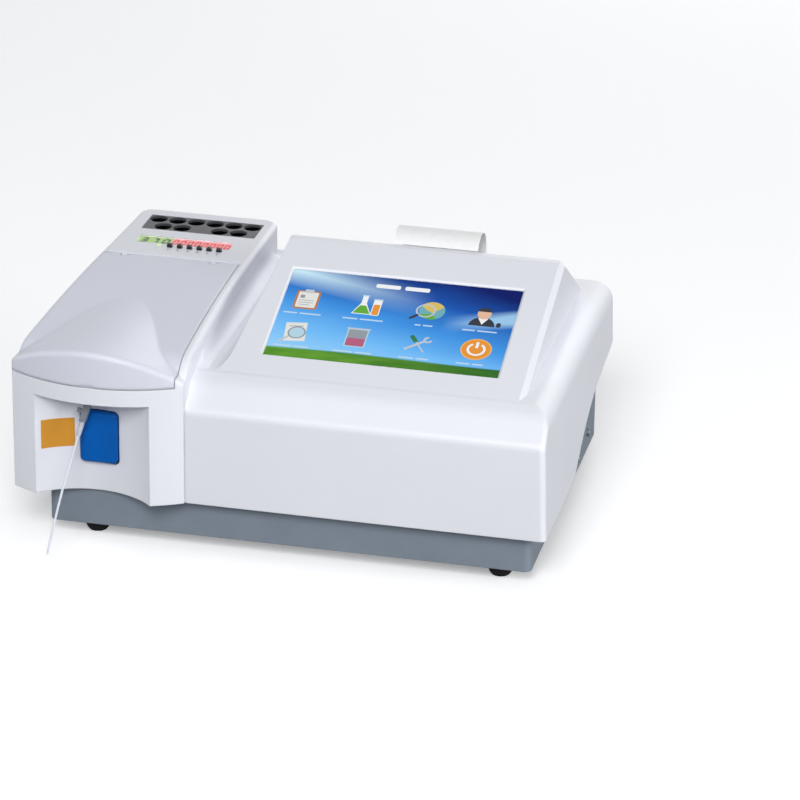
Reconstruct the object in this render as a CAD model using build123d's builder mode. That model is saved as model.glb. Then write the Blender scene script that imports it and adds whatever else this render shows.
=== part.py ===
from build123d import *
import os
from math import asin, atan2, cos, degrees, radians, sin, sqrt, tan

# Semi-automatic veterinary blood analyzer, bench model, in millimetres.
#
# +Z is up, +X is the operator's right, -Y is the front. The origin is the centre
# of the instrument's outline on the bench. The analyzer is a sheet-metal chassis
# on four feet under one moulded cover: at the left a tower with the sipper, the
# flow cell under a hinged lid and a ten-tube incubator, at the right a sloping
# touch screen with a paper printer behind its ridge.

os.makedirs("parts", exist_ok=True)

# Overall size of the cover
cover_width = 351.0
cover_depth = 260.0
wall = 3.0
x_left = -cover_width / 2
x_right = cover_width / 2
y_nose = -cover_depth / 2
y_rear = cover_depth / 2

# Middle and right side of the tower at the left
bow_half_width = 57.3
tower_x = x_left + bow_half_width
tower_right_x = tower_x + bow_half_width

# Clearances
running_gap = 0.05
seam_gap = 0.4
part_gap = 0.3

# Main body of the cover
cover_bottom_z = 36.0
nose_overhang = 17.2
crease_z = 100.5
bevel_depth = 15.0
bevel_rise = 15.0
shoulder_z = 119.5
shoulder_radius = 13.0
side_draft = 3.0
front_corner_radius = 4.0
front_y = y_nose + nose_overhang
deck_start_y = front_y + bevel_depth
deck_start_z = crease_z + bevel_rise

# Screen wedge on the body
deck_tilt = 18.9
ridge_y = 43.7
ridge_flat = 5.0
ridge_z = deck_start_z + (ridge_y - deck_start_y) * tan(radians(deck_tilt))
rear_foot_y = 118.0
wedge_left_top_x = tower_right_x + 29.4
wedge_left_foot_x = tower_right_x + 17.9
wedge_right_x = x_right - 21.5
wedge_mid_x = (wedge_left_top_x + wedge_right_x) / 2
wedge_chamfer = 3.5
valley_overlap = 0.2
rear_slope = degrees(atan2(ridge_z - shoulder_z, rear_foot_y - ridge_y - ridge_flat))

# Tower at the left
bow_radius = 108.0
bow_centre_y = y_nose + bow_radius
bow_end_y = bow_centre_y - sqrt(bow_radius ** 2 - bow_half_width ** 2)
tower_rear_left_x = x_left + 17.0
tower_side_bulge = 1.8
tower_corner_radius = 9.0
tower_top_z = 141.5
seam_y = 45.0
lid_fall_radius = 1050.0
lid_fall_end_y = -113.0
lid_nose_radius = 26.0
dome_radius = 97.0
dome_x = tower_x - 3.8
dome_apex_z = 141.4
dome_tilt = 1.26
dome_cap = 30.0
lid_seam_z = 117.0
lid_right_x = tower_right_x - 5.6
scallop_radius = 30.0
scallop_depth = 1.8
scallop_drop = 7.0
tower_edge_radius = 3.5
front_soft_radius = 8.0
deck_soft_radius = 20.0

# Sample recess in the tower's front
scoop_top_z = 105.5
scoop_x = tower_x - 2.2
scoop_half_width = 38.4
scoop_depth = 22.7
scoop_wall = 2.0
scoop_back_y = y_nose + scoop_depth
scoop_mouth_y = bow_centre_y - sqrt(bow_radius ** 2 - scoop_half_width ** 2)
scoop_rise = scoop_back_y - scoop_mouth_y
scoop_radius = (scoop_half_width ** 2 + scoop_rise ** 2) / (2 * scoop_rise)
scoop_centre_y = scoop_back_y - scoop_radius


# Chassis, a folded sheet tray, and its feet
sheet = 1.5
foot_height = 10.0
chassis_left_x = x_left + 20.5
chassis_right_x = x_right - 10.5
chassis_front_y = -105.0
chassis_rear_y = 120.0
chassis_front_top_z = 50.0
chassis_side_top_z = 85.0
chassis_corner_radius = 5.0
rear_flange = 12.0
floor_z = foot_height + sheet
foot_radius = 8.5
foot_tread_radius = 6.0
foot_columns = (chassis_left_x + 28.0, chassis_right_x - 22.5)
foot_front_y = -89.0
foot_rear_y = 100.0

# Lower edge of the cover, which climbs towards the rear
climb_start_y = -12.0
climb_mid_y = 26.0
climb_mid_z = 56.0
climb_end_y = 70.0
climb_end_z = 69.3
climb_rear_z = 76.7

# Screws: head radius, head height, shank radius
cover_screw = (3.5, 2.4, 1.9)
small_screw = (3.0, 2.0, 1.25)
post_radius = 4.5
post_right_x = x_right - 20.5
post_left_x = tower_right_x + 10.9
post_places = ((post_right_x, -82.0), (post_right_x, 104.0), (post_left_x, -82.0),
               (post_left_x, 106.0))

# Screen: the visible area, then the glass and the module under it
screen_margin = 15.7
screen_width = wedge_right_x - wedge_left_top_x - 2 * screen_margin
screen_height = 85.9
screen_x = wedge_mid_x - 5.75
screen_y = -25.5
window_bevel = 1.6
glass_width = screen_width + 7.9
glass_height = 97.0
glass_thickness = 1.8
glass_depth = 1.4
lcd_thickness = 5.6
lcd_back = glass_depth + glass_thickness + lcd_thickness
bracket_thickness = 1.2
bracket_side = 30.0
bracket_end = 20.0
screen_boss_radius = 3.6
screen_boss_pitch_y = glass_height + 2 * screen_boss_radius + 2
screen_boss_span_x = glass_width - 34.0

# Incubator: ten wells in two staggered rows
well_radius = 6.0
well_depth = 38.0
well_pitch = 13.3
well_back_y = 111.2
well_front_y = 98.2
well_left_x = x_left + 33.4
block_margin = 0.4
plate_left_x = x_left + 26.5
plate_right_x = x_left + 106.5
plate_front_y = 90.7
plate_back_y = 118.4
plate_thickness = 2.0
plate_sink = 0.3
plate_hole_gap = 0.1
block_floor = 5.0

# Timer panel in front of the incubator
timer_board_left_x = plate_left_x - 2.0
timer_board_right_x = plate_right_x + 2.0
timer_board_front_y = 53.0
timer_board_back_y = 87.0
display_boss_radius = 2.2
switch_rise = 1.5
display_left_x = x_left + 30.1
display_split_x = x_left + 53.5
display_right_x = x_left + 95.3
display_front_y = 65.8
display_back_y = 79.2
display_height = 9.0
window_thickness = 1.2
board_thickness = 1.6
button_count = 6
button_pitch = 6.9
button_first_x = x_left + 55.2
button_y = 61.8
button_width = 3.2
button_depth = 3.2
button_rise = 2.6
button_round = 1.0
button_travel = 0.6
led_x = x_left + 47.6
led_radius = 1.5

# Lid hinge, and the pins that all three hinges share
pin_radius = 1.1
hinge_radius = 3.0
hinge_ear_width = 4.0
hinge_ear_places = (x_left + 29.5, x_left + 91.5)
hinge_pin_length = 26.0
hinge_y = seam_y - seam_gap / 2 - hinge_radius
hinge_z = tower_top_z - hinge_radius

# Tray that carries the flow cell under the lid
tray_z = scoop_top_z + scoop_wall + part_gap
tray_thickness = 2.0
tray_top_z = tray_z + tray_thickness
tray_rear_y = 38.0

# Photometer: everything lies on one light axis along X
light_y = -20.0
light_z = 122.0
wheel_radius = 32.0
wheel_thickness = 4.0
filter_ring_radius = 27.0
filter_count = 8
filter_radius = 4.2
wheel_x = x_left + 31.5
wheel_z = light_z - filter_ring_radius
wheel_shaft_radius = 2.0
wheel_motor_length = 20.0
light_bore_radius = 4.0
cell_x = x_left + 57.5
cell_width = 30.0
cell_depth = 26.0
cell_height = 20.0

# Peristaltic pump
pump_x = x_left + 83.5
pump_y = -72.0
pump_motor_radius = 16.0
pump_motor_length = 42.0
pump_height = 13.0
pump_bore_radius = 18.5
pump_tube_radius = 2.4
pump_tube_ring = 16.0
roller_radius = 4.0
roller_count = 3
roller_ring_radius = 9.3
roller_pin_radius = 1.2
pump_shaft_radius = 2.5

# Start paddle in the sample recess
paddle_width = 25.3
paddle_height = 35.0
paddle_x = x_left + 56.6
paddle_top_z = 92.3
paddle_face_y = -112.0
paddle_body_depth = 5.5
paddle_gap = 0.6
paddle_swing_gap = 1.7
paddle_corner = 3.0
paddle_axis_y = -101.0
paddle_axis_z = 89.5
paddle_barrel_radius = 2.6
bracket_wall = 1.5

# Sipper: a holder under the recess's ceiling and a free tube
sipper_top = (x_left + 53.3, -116.9, scoop_top_z)
sipper_lean = (-0.26, -0.17, -0.95)
holder_length = 17.0
sleeve_end = 27.0
tube_radius = 0.75
sleeve_radius = 1.6
tube_points = ((x_left + 43.6, -127.5, 66.4), (x_left + 40.2, -138.0, 48.5),
               (x_left + 37.8, -150.5, 28.3), (x_left + 36.1, -160.0, 11.6))

# Label beside the paddle
label_left_x = x_left + 20.7
label_right_x = x_left + 40.2
label_low_z = 66.5
label_high_z = 86.3
label_thickness = 0.3

# Printer, measured down the rear slope from the ridge
printer_x = wedge_mid_x - 1.35
door_width = 94.8
bay_start = 0.5
bay_end = 66.4
bay_depth = 40.0
bay_wall = 1.8
door_thickness = 3.0
door_proud = 0.7
door_start = 3.2
door_hinge_along = 64.2
paper_offset_x = 6.3
paper_x = printer_x + paper_offset_x
paper_width = 57.0
paper_thickness = 0.24
roll_radius = 17.0
roll_along = 38.0
roll_down = 20.0
spindle_radius = 5.9
platen_along = 9.4
platen_down = 7.5
platen_radius = 4.2
platen_shaft_radius = 1.5
platen_gap = 0.5
curl_centre_y = 62.9
curl_centre_z = 155.9
curl_radius = 15.5
curl_end_angle = -22.0

# Rear panel and what it carries
panel_top_z = 112.0
panel_gap = 0.2
inlet_x = chassis_right_x - 43.0
inlet_width = 28.0
inlet_height = 20.0
switch_x = inlet_x - 38.0
switch_width = 21.0
switch_height = 15.0
port_z = 36.0
usb_places = (switch_x - 50.0, switch_x - 30.0)
serial_x = switch_x - 80.0
fan_x = chassis_left_x + 56.0
fan_z = 48.0
fan_size = 60.0
fan_depth = 15.0
fan_bore_radius = 28.0
fan_hub_radius = 12.0
blade_count = 7
waste_x = serial_x - 24.0
waste_radius = 3.0

# Main board and power supply on the chassis floor
mainboard_width = 120.0
mainboard_depth = 110.0
mainboard_x = post_left_x + 20.0 + mainboard_width / 2
mainboard_y = -25.0
standoff_height = 8.0
standoff_radius = 3.0
connector_width = 22.0
connector_pitch = 30.0
supply_width = 50.0
supply_depth = 64.0
supply_height = 38.0
supply_front_y = 32.0
side_screw_places = ((91.0, 24.0), (54.0, 21.0))

# Places worked out from the sizes above
board_corners = [(mainboard_x + side * (mainboard_width / 2 - 5),
                  mainboard_y + rise * (mainboard_depth / 2 - 5))
                 for side in (-1, 1) for rise in (-1, 1)]
board_top_z = tower_top_z - window_thickness - part_gap - display_height
display_boss_places = [(x, y) for x in (timer_board_left_x + 3, timer_board_right_x - 3)
                       for y in (timer_board_front_y + 3, timer_board_back_y - 3)]

# Planes
deck_normal = (0, -sin(radians(deck_tilt)), cos(radians(deck_tilt)))
screen_z = deck_start_z + (screen_y - deck_start_y) * tan(radians(deck_tilt))
screen_plane = Plane(origin=(screen_x, screen_y, screen_z), x_dir=(1, 0, 0), z_dir=deck_normal)
slope_normal = (0, sin(radians(rear_slope)), cos(radians(rear_slope)))
printer_plane = Plane(origin=(printer_x, ridge_y + ridge_flat, ridge_z), x_dir=(1, 0, 0),
                      z_dir=slope_normal)


def body_form(inset):
    """The screen side of the cover as a filled form, drawn in by inset."""
    left_x = tower_right_x - 14 + inset
    low_z = cover_bottom_z - (10 if inset else 0)
    top_right_x = x_right - side_draft - inset
    with BuildPart() as form:
        with BuildSketch(Plane.XZ.offset(-y_rear + inset)):
            with BuildLine():
                outline = Polyline(
                    (left_x, low_z), (x_right - inset, low_z),
                    (top_right_x, shoulder_z - inset), (left_x, shoulder_z - inset), close=True)
            make_face()
            fillet(outline.vertices().sort_by(lambda v: v.X + v.Y)[-1], shoulder_radius - inset)
        extrude(amount=y_rear - front_y - 2 * inset)
        with BuildSketch(Plane.YZ.offset(left_x - 1)):
            with BuildLine():
                Polyline(
                    (front_y + inset, low_z - 1), (front_y + inset, crease_z),
                    (deck_start_y + inset, deck_start_z),
                    (deck_start_y + (shoulder_z - deck_start_z) / tan(radians(deck_tilt)),
                     shoulder_z + 1 - inset),
                    (y_rear, shoulder_z + 1 - inset), (y_rear, low_z - 1), close=True)
            make_face()
        extrude(amount=x_right - left_x + 2, mode=Mode.INTERSECT)
    return form.part


def wedge_form(inset):
    """The roof-like screen wedge, filled, drawn in by inset."""
    low_z = shoulder_z - 8
    top_z = ridge_z - inset
    lean = (wedge_left_top_x - wedge_left_foot_x) / (ridge_z - shoulder_z)
    shift = inset / cos(radians(deck_tilt))
    with BuildPart() as form:
        with BuildSketch(Plane.XZ.offset(-y_rear)):
            with BuildLine():
                outline = Polyline(
                    (wedge_left_top_x + inset - lean * (ridge_z - low_z), low_z),
                    (wedge_right_x - inset, low_z), (wedge_right_x - inset, top_z + 10),
                    (wedge_left_top_x + inset + lean * 10, top_z + 10), close=True)
            make_face()
        extrude(amount=cover_depth)
        with BuildSketch(Plane.YZ.offset(wedge_left_foot_x - 10)):
            with BuildLine():
                Polyline(
                    (deck_start_y + inset, low_z), (deck_start_y + inset, deck_start_z - shift),
                    (ridge_y, ridge_z - shift), (ridge_y + ridge_flat, ridge_z - shift),
                    (rear_foot_y, shoulder_z - shift), (rear_foot_y, low_z), close=True)
            make_face()
        extrude(amount=wedge_right_x - wedge_left_foot_x + 20, mode=Mode.INTERSECT)
        if not inset:
            deck = form.faces().sort_by(lambda f: f.normal_at().Z)[-3:]
            right = deck.edges().filter_by(lambda e: e.center().X > wedge_right_x - 0.1)
            chamfer(right, wedge_chamfer)
    return form.part


def valley_form():
    """The concave fill between the tower's wall and the wedge's left foot."""
    lean = (wedge_left_top_x - wedge_left_foot_x) / (ridge_z - shoulder_z)
    slant = atan2(lean, 1)
    room = wedge_left_foot_x - tower_right_x
    radius = room * cos(slant) / (1 + cos(slant) - sin(slant))
    with BuildPart() as form:
        with BuildSketch(Plane.XZ.offset(-rear_foot_y)):
            with BuildLine():
                Polyline((tower_right_x - 1, shoulder_z - 1), (wedge_left_foot_x + 1, shoulder_z - 1),
                         (wedge_left_foot_x + lean * radius + 1, shoulder_z + radius),
                         (tower_right_x - 1, shoulder_z + radius), close=True)
            make_face()
            with Locations((tower_right_x + radius, shoulder_z + radius)):
                Circle(radius + valley_overlap, mode=Mode.SUBTRACT)
        extrude(amount=rear_foot_y - deck_start_y)
        with BuildSketch(Plane.YZ.offset(tower_right_x - 2)):
            with BuildLine():
                Polyline((deck_start_y, deck_start_z - 2), (deck_start_y, deck_start_z),
                         (ridge_y, ridge_z), (ridge_y + ridge_flat, ridge_z),
                         (rear_foot_y, shoulder_z), (rear_foot_y, deck_start_z - 2), close=True)
            make_face()
        extrude(amount=2 * room, mode=Mode.INTERSECT)
    return form.part


def tower_outline(inset):
    """The tower's plan, a sketch drawn in by inset."""
    left_mid_y = (bow_end_y + y_rear) / 2
    left_mid_x = (x_left + tower_rear_left_x) / 2 + tower_side_bulge
    with BuildSketch() as plan:
        with BuildLine():
            Line((tower_right_x, bow_end_y), (tower_right_x, y_rear))
            Line((tower_right_x, y_rear), (tower_rear_left_x, y_rear))
            ThreePointArc((tower_rear_left_x, y_rear), (left_mid_x, left_mid_y), (x_left, bow_end_y))
            ThreePointArc((x_left, bow_end_y), (tower_x, y_nose), (tower_right_x, bow_end_y))
        make_face()
        rear = plan.vertices().group_by(Axis.Y)[-1]
        fillet(rear, tower_corner_radius)
        if inset:
            offset(amount=-inset, mode=Mode.REPLACE)
    return plan.sketch


def tower_form(inset):
    """The tower with its lid's outer shape, filled, drawn in by inset."""
    low_z = cover_bottom_z - (10 if inset else 0)
    plan = tower_outline(inset)
    centre_z = tower_top_z - lid_fall_radius
    fall_end_z = centre_z + sqrt(lid_fall_radius ** 2 - (seam_y - lid_fall_end_y) ** 2)
    dome_end_y = seam_y - 20
    with BuildPart() as roof:
        with BuildSketch(Plane.YZ.offset(x_left - 5)) as section:
            with BuildLine():
                RadiusArc((seam_y, tower_top_z - inset), (lid_fall_end_y + inset, fall_end_z - inset),
                          -lid_fall_radius)
                Polyline((lid_fall_end_y + inset, fall_end_z - inset),
                         (lid_fall_end_y + inset, low_z - 1), (y_rear + 5, low_z - 1),
                         (y_rear + 5, tower_top_z - inset), (seam_y, tower_top_z - inset))
            make_face()
            fillet(section.vertices().sort_by(lambda v: v.Y - 2 * v.X)[-1], lid_nose_radius)
        extrude(amount=2 * bow_half_width + 10)
    with BuildPart() as dome:
        apex = Plane(origin=(dome_x, y_nose - 2, dome_apex_z - inset), x_dir=(1, 0, 0),
                     z_dir=(0, cos(radians(dome_tilt)), -sin(radians(dome_tilt))))
        reach = dome_apex_z - cover_bottom_z + 15
        with BuildSketch(apex):
            with Locations((0, dome_radius)):
                Circle(dome_radius)
            Rectangle(2 * bow_half_width + 12, 2 * dome_cap, mode=Mode.INTERSECT)
            with Locations((0, dome_cap - 5 + reach / 2)):
                Rectangle(2 * bow_half_width + 12, reach)
        extrude(amount=dome_end_y - y_nose + 2)
    with BuildPart() as form:
        with BuildSketch(Plane.XY.offset(low_z)):
            add(plan)
        extrude(amount=tower_top_z + 20 - low_z)
        add(roof.part.fuse(dome.part), mode=Mode.INTERSECT)
        if not inset:
            walls = form.faces().filter_by(lambda f: abs(f.normal_at().Z) < 0.05)
            rim = walls.edges().filter_by(
                lambda e: e.center().Z > lid_seam_z and abs(e.tangent_at(0.5).Z) < 0.9)
            fillet(rim, tower_edge_radius)
        with BuildSketch(Plane.XY.offset(low_z)):
            with Locations((scoop_x, scoop_centre_y)):
                Circle(scoop_radius + (scoop_wall if inset else 0))
        extrude(amount=scoop_top_z - low_z + (scoop_wall if inset else 0), mode=Mode.SUBTRACT)
    return form.part


def block(x0, x1, y0, y1, z0, z1, mode=Mode.ADD):
    """A block between two corners, inside the part being built."""
    with Locations(((x0 + x1) / 2, (y0 + y1) / 2, (z0 + z1) / 2)):
        Box(x1 - x0, y1 - y0, z1 - z0, mode=mode)


def rod(start, direction, radius, length, mode=Mode.ADD):
    """A round rod or bore from start along direction, inside the part being built."""
    with Locations(Plane(origin=start, z_dir=direction)):
        Cylinder(radius, length, align=(Align.CENTER, Align.CENTER, Align.MIN), mode=mode)


def screw(head_seat, direction, size, shank_length):
    """A screw whose head sits on head_seat and whose shank runs along direction."""
    head_radius, head_height, shank_radius = size
    back = tuple(-step for step in direction)
    rod(head_seat, back, head_radius, head_height)
    rod(head_seat, direction, shank_radius, shank_length)
    top = tuple(seat + step * head_height for seat, step in zip(head_seat, back))
    rod(top, direction, head_radius * 0.42, head_height * 0.55, Mode.SUBTRACT)


RIGHT, LEFT = (1, 0, 0), (-1, 0, 0)
FRONT, REAR = (0, -1, 0), (0, 1, 0)
UP, DOWN = (0, 0, 1), (0, 0, -1)

# Chassis: a tray with a low front wall, high sides and two rear flanges
with BuildPart() as chassis:
    with BuildSketch(Plane.XY.offset(foot_height)) as tray_plan:
        with BuildLine():
            Polyline((chassis_left_x, chassis_rear_y), (chassis_left_x, chassis_front_y),
                     (chassis_right_x, chassis_front_y), (chassis_right_x, chassis_rear_y),
                     close=True)
        make_face()
        fillet(tray_plan.vertices().group_by(Axis.Y)[0], chassis_corner_radius)
    extrude(amount=chassis_side_top_z - foot_height)
    with BuildSketch(Plane.XY.offset(floor_z)) as tray_inside:
        with BuildLine():
            Polyline((chassis_left_x + sheet, chassis_rear_y + 1),
                     (chassis_left_x + sheet, chassis_front_y + sheet),
                     (chassis_right_x - sheet, chassis_front_y + sheet),
                     (chassis_right_x - sheet, chassis_rear_y + 1), close=True)
        make_face()
        fillet(tray_inside.vertices().group_by(Axis.Y)[0], chassis_corner_radius - sheet)
    extrude(amount=chassis_side_top_z, mode=Mode.SUBTRACT)
    block(chassis_left_x - 1, chassis_right_x + 1, chassis_front_y - 1,
          chassis_front_y + chassis_corner_radius + 12, chassis_front_top_z,
          chassis_side_top_z + 1, Mode.SUBTRACT)
    for wall_x, turn in ((chassis_left_x + sheet, 1), (chassis_right_x - sheet, -1)):
        inner_x = wall_x + turn * rear_flange
        block(min(wall_x, inner_x), max(wall_x, inner_x), chassis_rear_y - 2 * sheet,
              chassis_rear_y - sheet, floor_z - 0.5, chassis_side_top_z)
    for side_x in foot_columns:
        for side_y in (foot_front_y, foot_rear_y):
            rod((side_x, side_y, foot_height - 1), UP, small_screw[2] + 0.3, 5, Mode.SUBTRACT)
    for place in post_places:
        rod((*place, foot_height - 1), UP, cover_screw[2] + 0.4, 5, Mode.SUBTRACT)
    for side_y, side_z in side_screw_places:
        rod((chassis_right_x + 1, side_y, side_z), LEFT, small_screw[2] + running_gap, 4,
            Mode.SUBTRACT)
    flange_mid = rear_flange / 2 + sheet
    panel_screw_places = [(x, z) for x in (chassis_left_x + flange_mid, chassis_right_x - flange_mid)
                          for z in (floor_z + 12, chassis_side_top_z - 8)]
    for side_x, side_z in panel_screw_places:
        rod((side_x, chassis_rear_y, side_z), FRONT, small_screw[2] + running_gap, 5,
            Mode.SUBTRACT)
    for place in board_corners:
        rod((*place, floor_z - 0.5), UP, standoff_radius, standoff_height + 0.5)
    with BuildSketch(Plane.XY.offset(foot_height - 1)):
        with GridLocations(8, 30, 12, 2):
            SlotOverall(24, 3, rotation=90)
    extrude(amount=4, mode=Mode.SUBTRACT)
chassis.part.label = "chassis"
export_step(chassis.part, "parts/chassis.step")

# Feet: rubber domes with a recess for their screws
foot_places = [(x, y) for x in foot_columns for y in (foot_front_y, foot_rear_y)]
foot_recess = 4.0
with BuildPart() as foot:
    with BuildSketch(Plane.XZ):
        with BuildLine():
            Line((0, 0), (foot_tread_radius, 0))
            ThreePointArc((foot_tread_radius, 0), (foot_radius - 0.6, 3.2),
                          (foot_radius, foot_height - 1.5))
            Polyline((foot_radius, foot_height - 1.5), (foot_radius, foot_height),
                     (0, foot_height), (0, 0))
        make_face()
    revolve(axis=Axis.Z)
    rod((0, 0, -1), UP, small_screw[0] + 0.4, foot_recess + 1, Mode.SUBTRACT)
    rod((0, 0, 0), UP, small_screw[2] + running_gap, foot_height + 1, Mode.SUBTRACT)

with BuildPart() as feet:
    with Locations(*foot_places):
        add(foot.part)
feet.part.label = "feet"
export_step(feet.part, "parts/feet.step")

# Top cover: one moulding, hollow, with posts down to the chassis floor
with BuildPart() as outside:
    add(body_form(0))
    add(wedge_form(0))
    across = outside.edges().filter_by(Axis.X)
    fillet(across.filter_by(lambda e: abs(e.center().Z - crease_z) < 0.1), front_soft_radius)
    across = outside.edges().filter_by(Axis.X)
    fillet(across.filter_by(lambda e: abs(e.center().Y - deck_start_y) < 0.1), deck_soft_radius)
    fillet(outside.edges().filter_by(
        lambda e: e.center().X > x_right - 4 and e.center().Y < front_y + 0.5 and e.length > 20),
        front_corner_radius)
    add(tower_form(0))
    add(valley_form())

with BuildPart() as inside:
    add(body_form(wall))
    add(wedge_form(wall))
    add(tower_form(wall))

with BuildPart() as top_cover:
    add(outside.part)
    add(inside.part, mode=Mode.SUBTRACT)
    # the opening that the lid closes
    block(x_left - 5, lid_right_x + seam_gap, y_nose - 5, seam_y + seam_gap / 2,
          lid_seam_z - seam_gap / 2, tower_top_z + 10, Mode.SUBTRACT)
    # the lower edge climbs behind climb_start_y
    with BuildSketch(Plane.YZ.offset(x_left - 5)):
        with BuildLine():
            ThreePointArc((climb_start_y, cover_bottom_z), (climb_mid_y, climb_mid_z),
                          (climb_end_y, climb_end_z))
            Polyline((climb_end_y, climb_end_z), (y_rear + 5, climb_rear_z),
                     (y_rear + 5, cover_bottom_z - 5), (climb_start_y, cover_bottom_z - 5),
                     (climb_start_y, cover_bottom_z))
        make_face()
    extrude(amount=cover_width + 10, mode=Mode.SUBTRACT)
    # the fine groove between the tower's front and the body's front
    block(tower_right_x - 0.5, tower_right_x + 0.5, y_nose, front_y + 1.0,
          cover_bottom_z - 1, shoulder_z + 3, Mode.SUBTRACT)
    # hinge ears under the front edge of the tower's fixed deck
    for ear_x in hinge_ear_places:
        ear_left = ear_x - hinge_ear_width / 2
        rod((ear_left, hinge_y, hinge_z), RIGHT, hinge_radius - 0.1, hinge_ear_width)
        block(ear_left, ear_left + hinge_ear_width, hinge_y, hinge_y + 12,
              hinge_z - hinge_radius + 0.1, tower_top_z - wall + 0.1)
        rod((ear_left - 1, hinge_y, hinge_z), RIGHT, pin_radius + 0.01,
            hinge_ear_width + 2, Mode.SUBTRACT)
    # posts for the cover screws
    for place in post_places:
        rod((*place, floor_z), UP, post_radius, shoulder_z - wall + 1 - floor_z)
        rod((*place, floor_z - 1), UP, cover_screw[2] + running_gap, 16, Mode.SUBTRACT)
    # window for the paddle
    with BuildSketch(Plane.XZ.offset(-scoop_back_y - scoop_wall - 3)):
        with Locations((paddle_x, paddle_top_z + paddle_gap)):
            RectangleRounded(paddle_width + 2 * paddle_gap,
                             paddle_height + paddle_gap + paddle_swing_gap,
                             paddle_corner + paddle_gap, align=(Align.CENTER, Align.MAX))
    extrude(amount=scoop_depth + scoop_wall + 1, mode=Mode.SUBTRACT)
    # incubator plate, display window, buttons and status light
    block(plate_left_x, plate_right_x, plate_front_y, plate_back_y,
          tower_top_z - wall - 1, tower_top_z + 1, Mode.SUBTRACT)
    block(display_left_x, display_right_x, display_front_y, display_back_y,
          tower_top_z - wall - 1, tower_top_z + 1, Mode.SUBTRACT)
    for number in range(button_count):
        button_x = button_first_x + number * button_pitch
        block(button_x - button_width / 2 - part_gap, button_x + button_width / 2 + part_gap,
              button_y - button_depth / 2 - part_gap, button_y + button_depth / 2 + part_gap,
              tower_top_z - wall - 1, tower_top_z + 1, Mode.SUBTRACT)
    rod((led_x, button_y, tower_top_z + 1), DOWN, led_radius + 0.1, wall + 2, Mode.SUBTRACT)
    # bosses down to the display board
    for place in display_boss_places:
        rod((*place, board_top_z), UP, display_boss_radius, tower_top_z - wall + 0.1 - board_top_z)
    # hole for the sample tube in the ceiling of the recess
    rod((sipper_top[0], sipper_top[1], scoop_top_z - 1), UP, tube_radius + part_gap,
        scoop_wall + 2, Mode.SUBTRACT)
    # screen window with its bevelled border, and the glass's seat behind it
    with BuildSketch(screen_plane.offset(-glass_depth)):
        Rectangle(screen_width, screen_height)
    with BuildSketch(screen_plane.offset(0.05)):
        Rectangle(screen_width + 2 * window_bevel, screen_height + 2 * window_bevel)
    loft(mode=Mode.SUBTRACT)
    with BuildSketch(screen_plane.offset(-glass_depth)):
        Rectangle(glass_width + 2 * part_gap, glass_height + 2 * part_gap)
    extrude(amount=-6, mode=Mode.SUBTRACT)
    with BuildSketch(screen_plane.offset(-wall + 0.1)):
        with GridLocations(screen_boss_span_x, screen_boss_pitch_y, 2, 2):
            Circle(screen_boss_radius)
    extrude(amount=wall - 0.1 - lcd_back)
    with BuildSketch(screen_plane.offset(-wall - 0.6)):
        with GridLocations(screen_boss_span_x, screen_boss_pitch_y, 2, 2):
            Circle(small_screw[2] + running_gap)
    extrude(amount=-lcd_back, mode=Mode.SUBTRACT)
    # printer bay in the rear slope
    with BuildSketch(printer_plane.offset(2)):
        with Locations((0, (bay_start + bay_end) / 2)):
            Rectangle(door_width + 2 * seam_gap, bay_end - bay_start)
    extrude(amount=-12, mode=Mode.SUBTRACT)
top_cover.part.label = "top_cover"
export_step(top_cover.part, "parts/top_cover.step")

# Lid over the flow cell, cut from the same form
with BuildPart() as flow_cell_lid:
    add(tower_form(0))
    add(tower_form(wall), mode=Mode.SUBTRACT)
    block(x_left - 5, lid_right_x, y_nose - 5, hinge_y,
          lid_seam_z + seam_gap / 2, tower_top_z + 10, Mode.INTERSECT)
    # barrel along the rear edge, open where the ears stand
    barrel_left = tower_rear_left_x + wall + 0.8
    rod((barrel_left, hinge_y, hinge_z), RIGHT, hinge_radius - 0.1, lid_right_x - barrel_left)
    for ear_x in hinge_ear_places:
        ear_room = hinge_ear_width / 2 + seam_gap
        block(ear_x - ear_room, ear_x + ear_room, hinge_y - hinge_radius - seam_gap,
              seam_y + 2, hinge_z - hinge_radius - 1, tower_top_z + 1, Mode.SUBTRACT)
        rod((ear_x - hinge_pin_length / 2 - part_gap, hinge_y, hinge_z), RIGHT,
            pin_radius + running_gap, hinge_pin_length + 2 * part_gap, Mode.SUBTRACT)
    # shallow nail scallop over the front seam
    with Locations((tower_x - 2, y_nose + scallop_depth - scallop_radius,
                    lid_seam_z - scallop_drop)):
        Sphere(scallop_radius, mode=Mode.SUBTRACT)
flow_cell_lid.part.label = "flow_cell_lid"
export_step(flow_cell_lid.part, "parts/flow_cell_lid.step")

with BuildPart() as cover_screws:
    for place in post_places:
        screw((*place, foot_height), UP, cover_screw, sheet + 13)
cover_screws.part.label = "cover_screws"
export_step(cover_screws.part, "parts/cover_screws.step")

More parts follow.
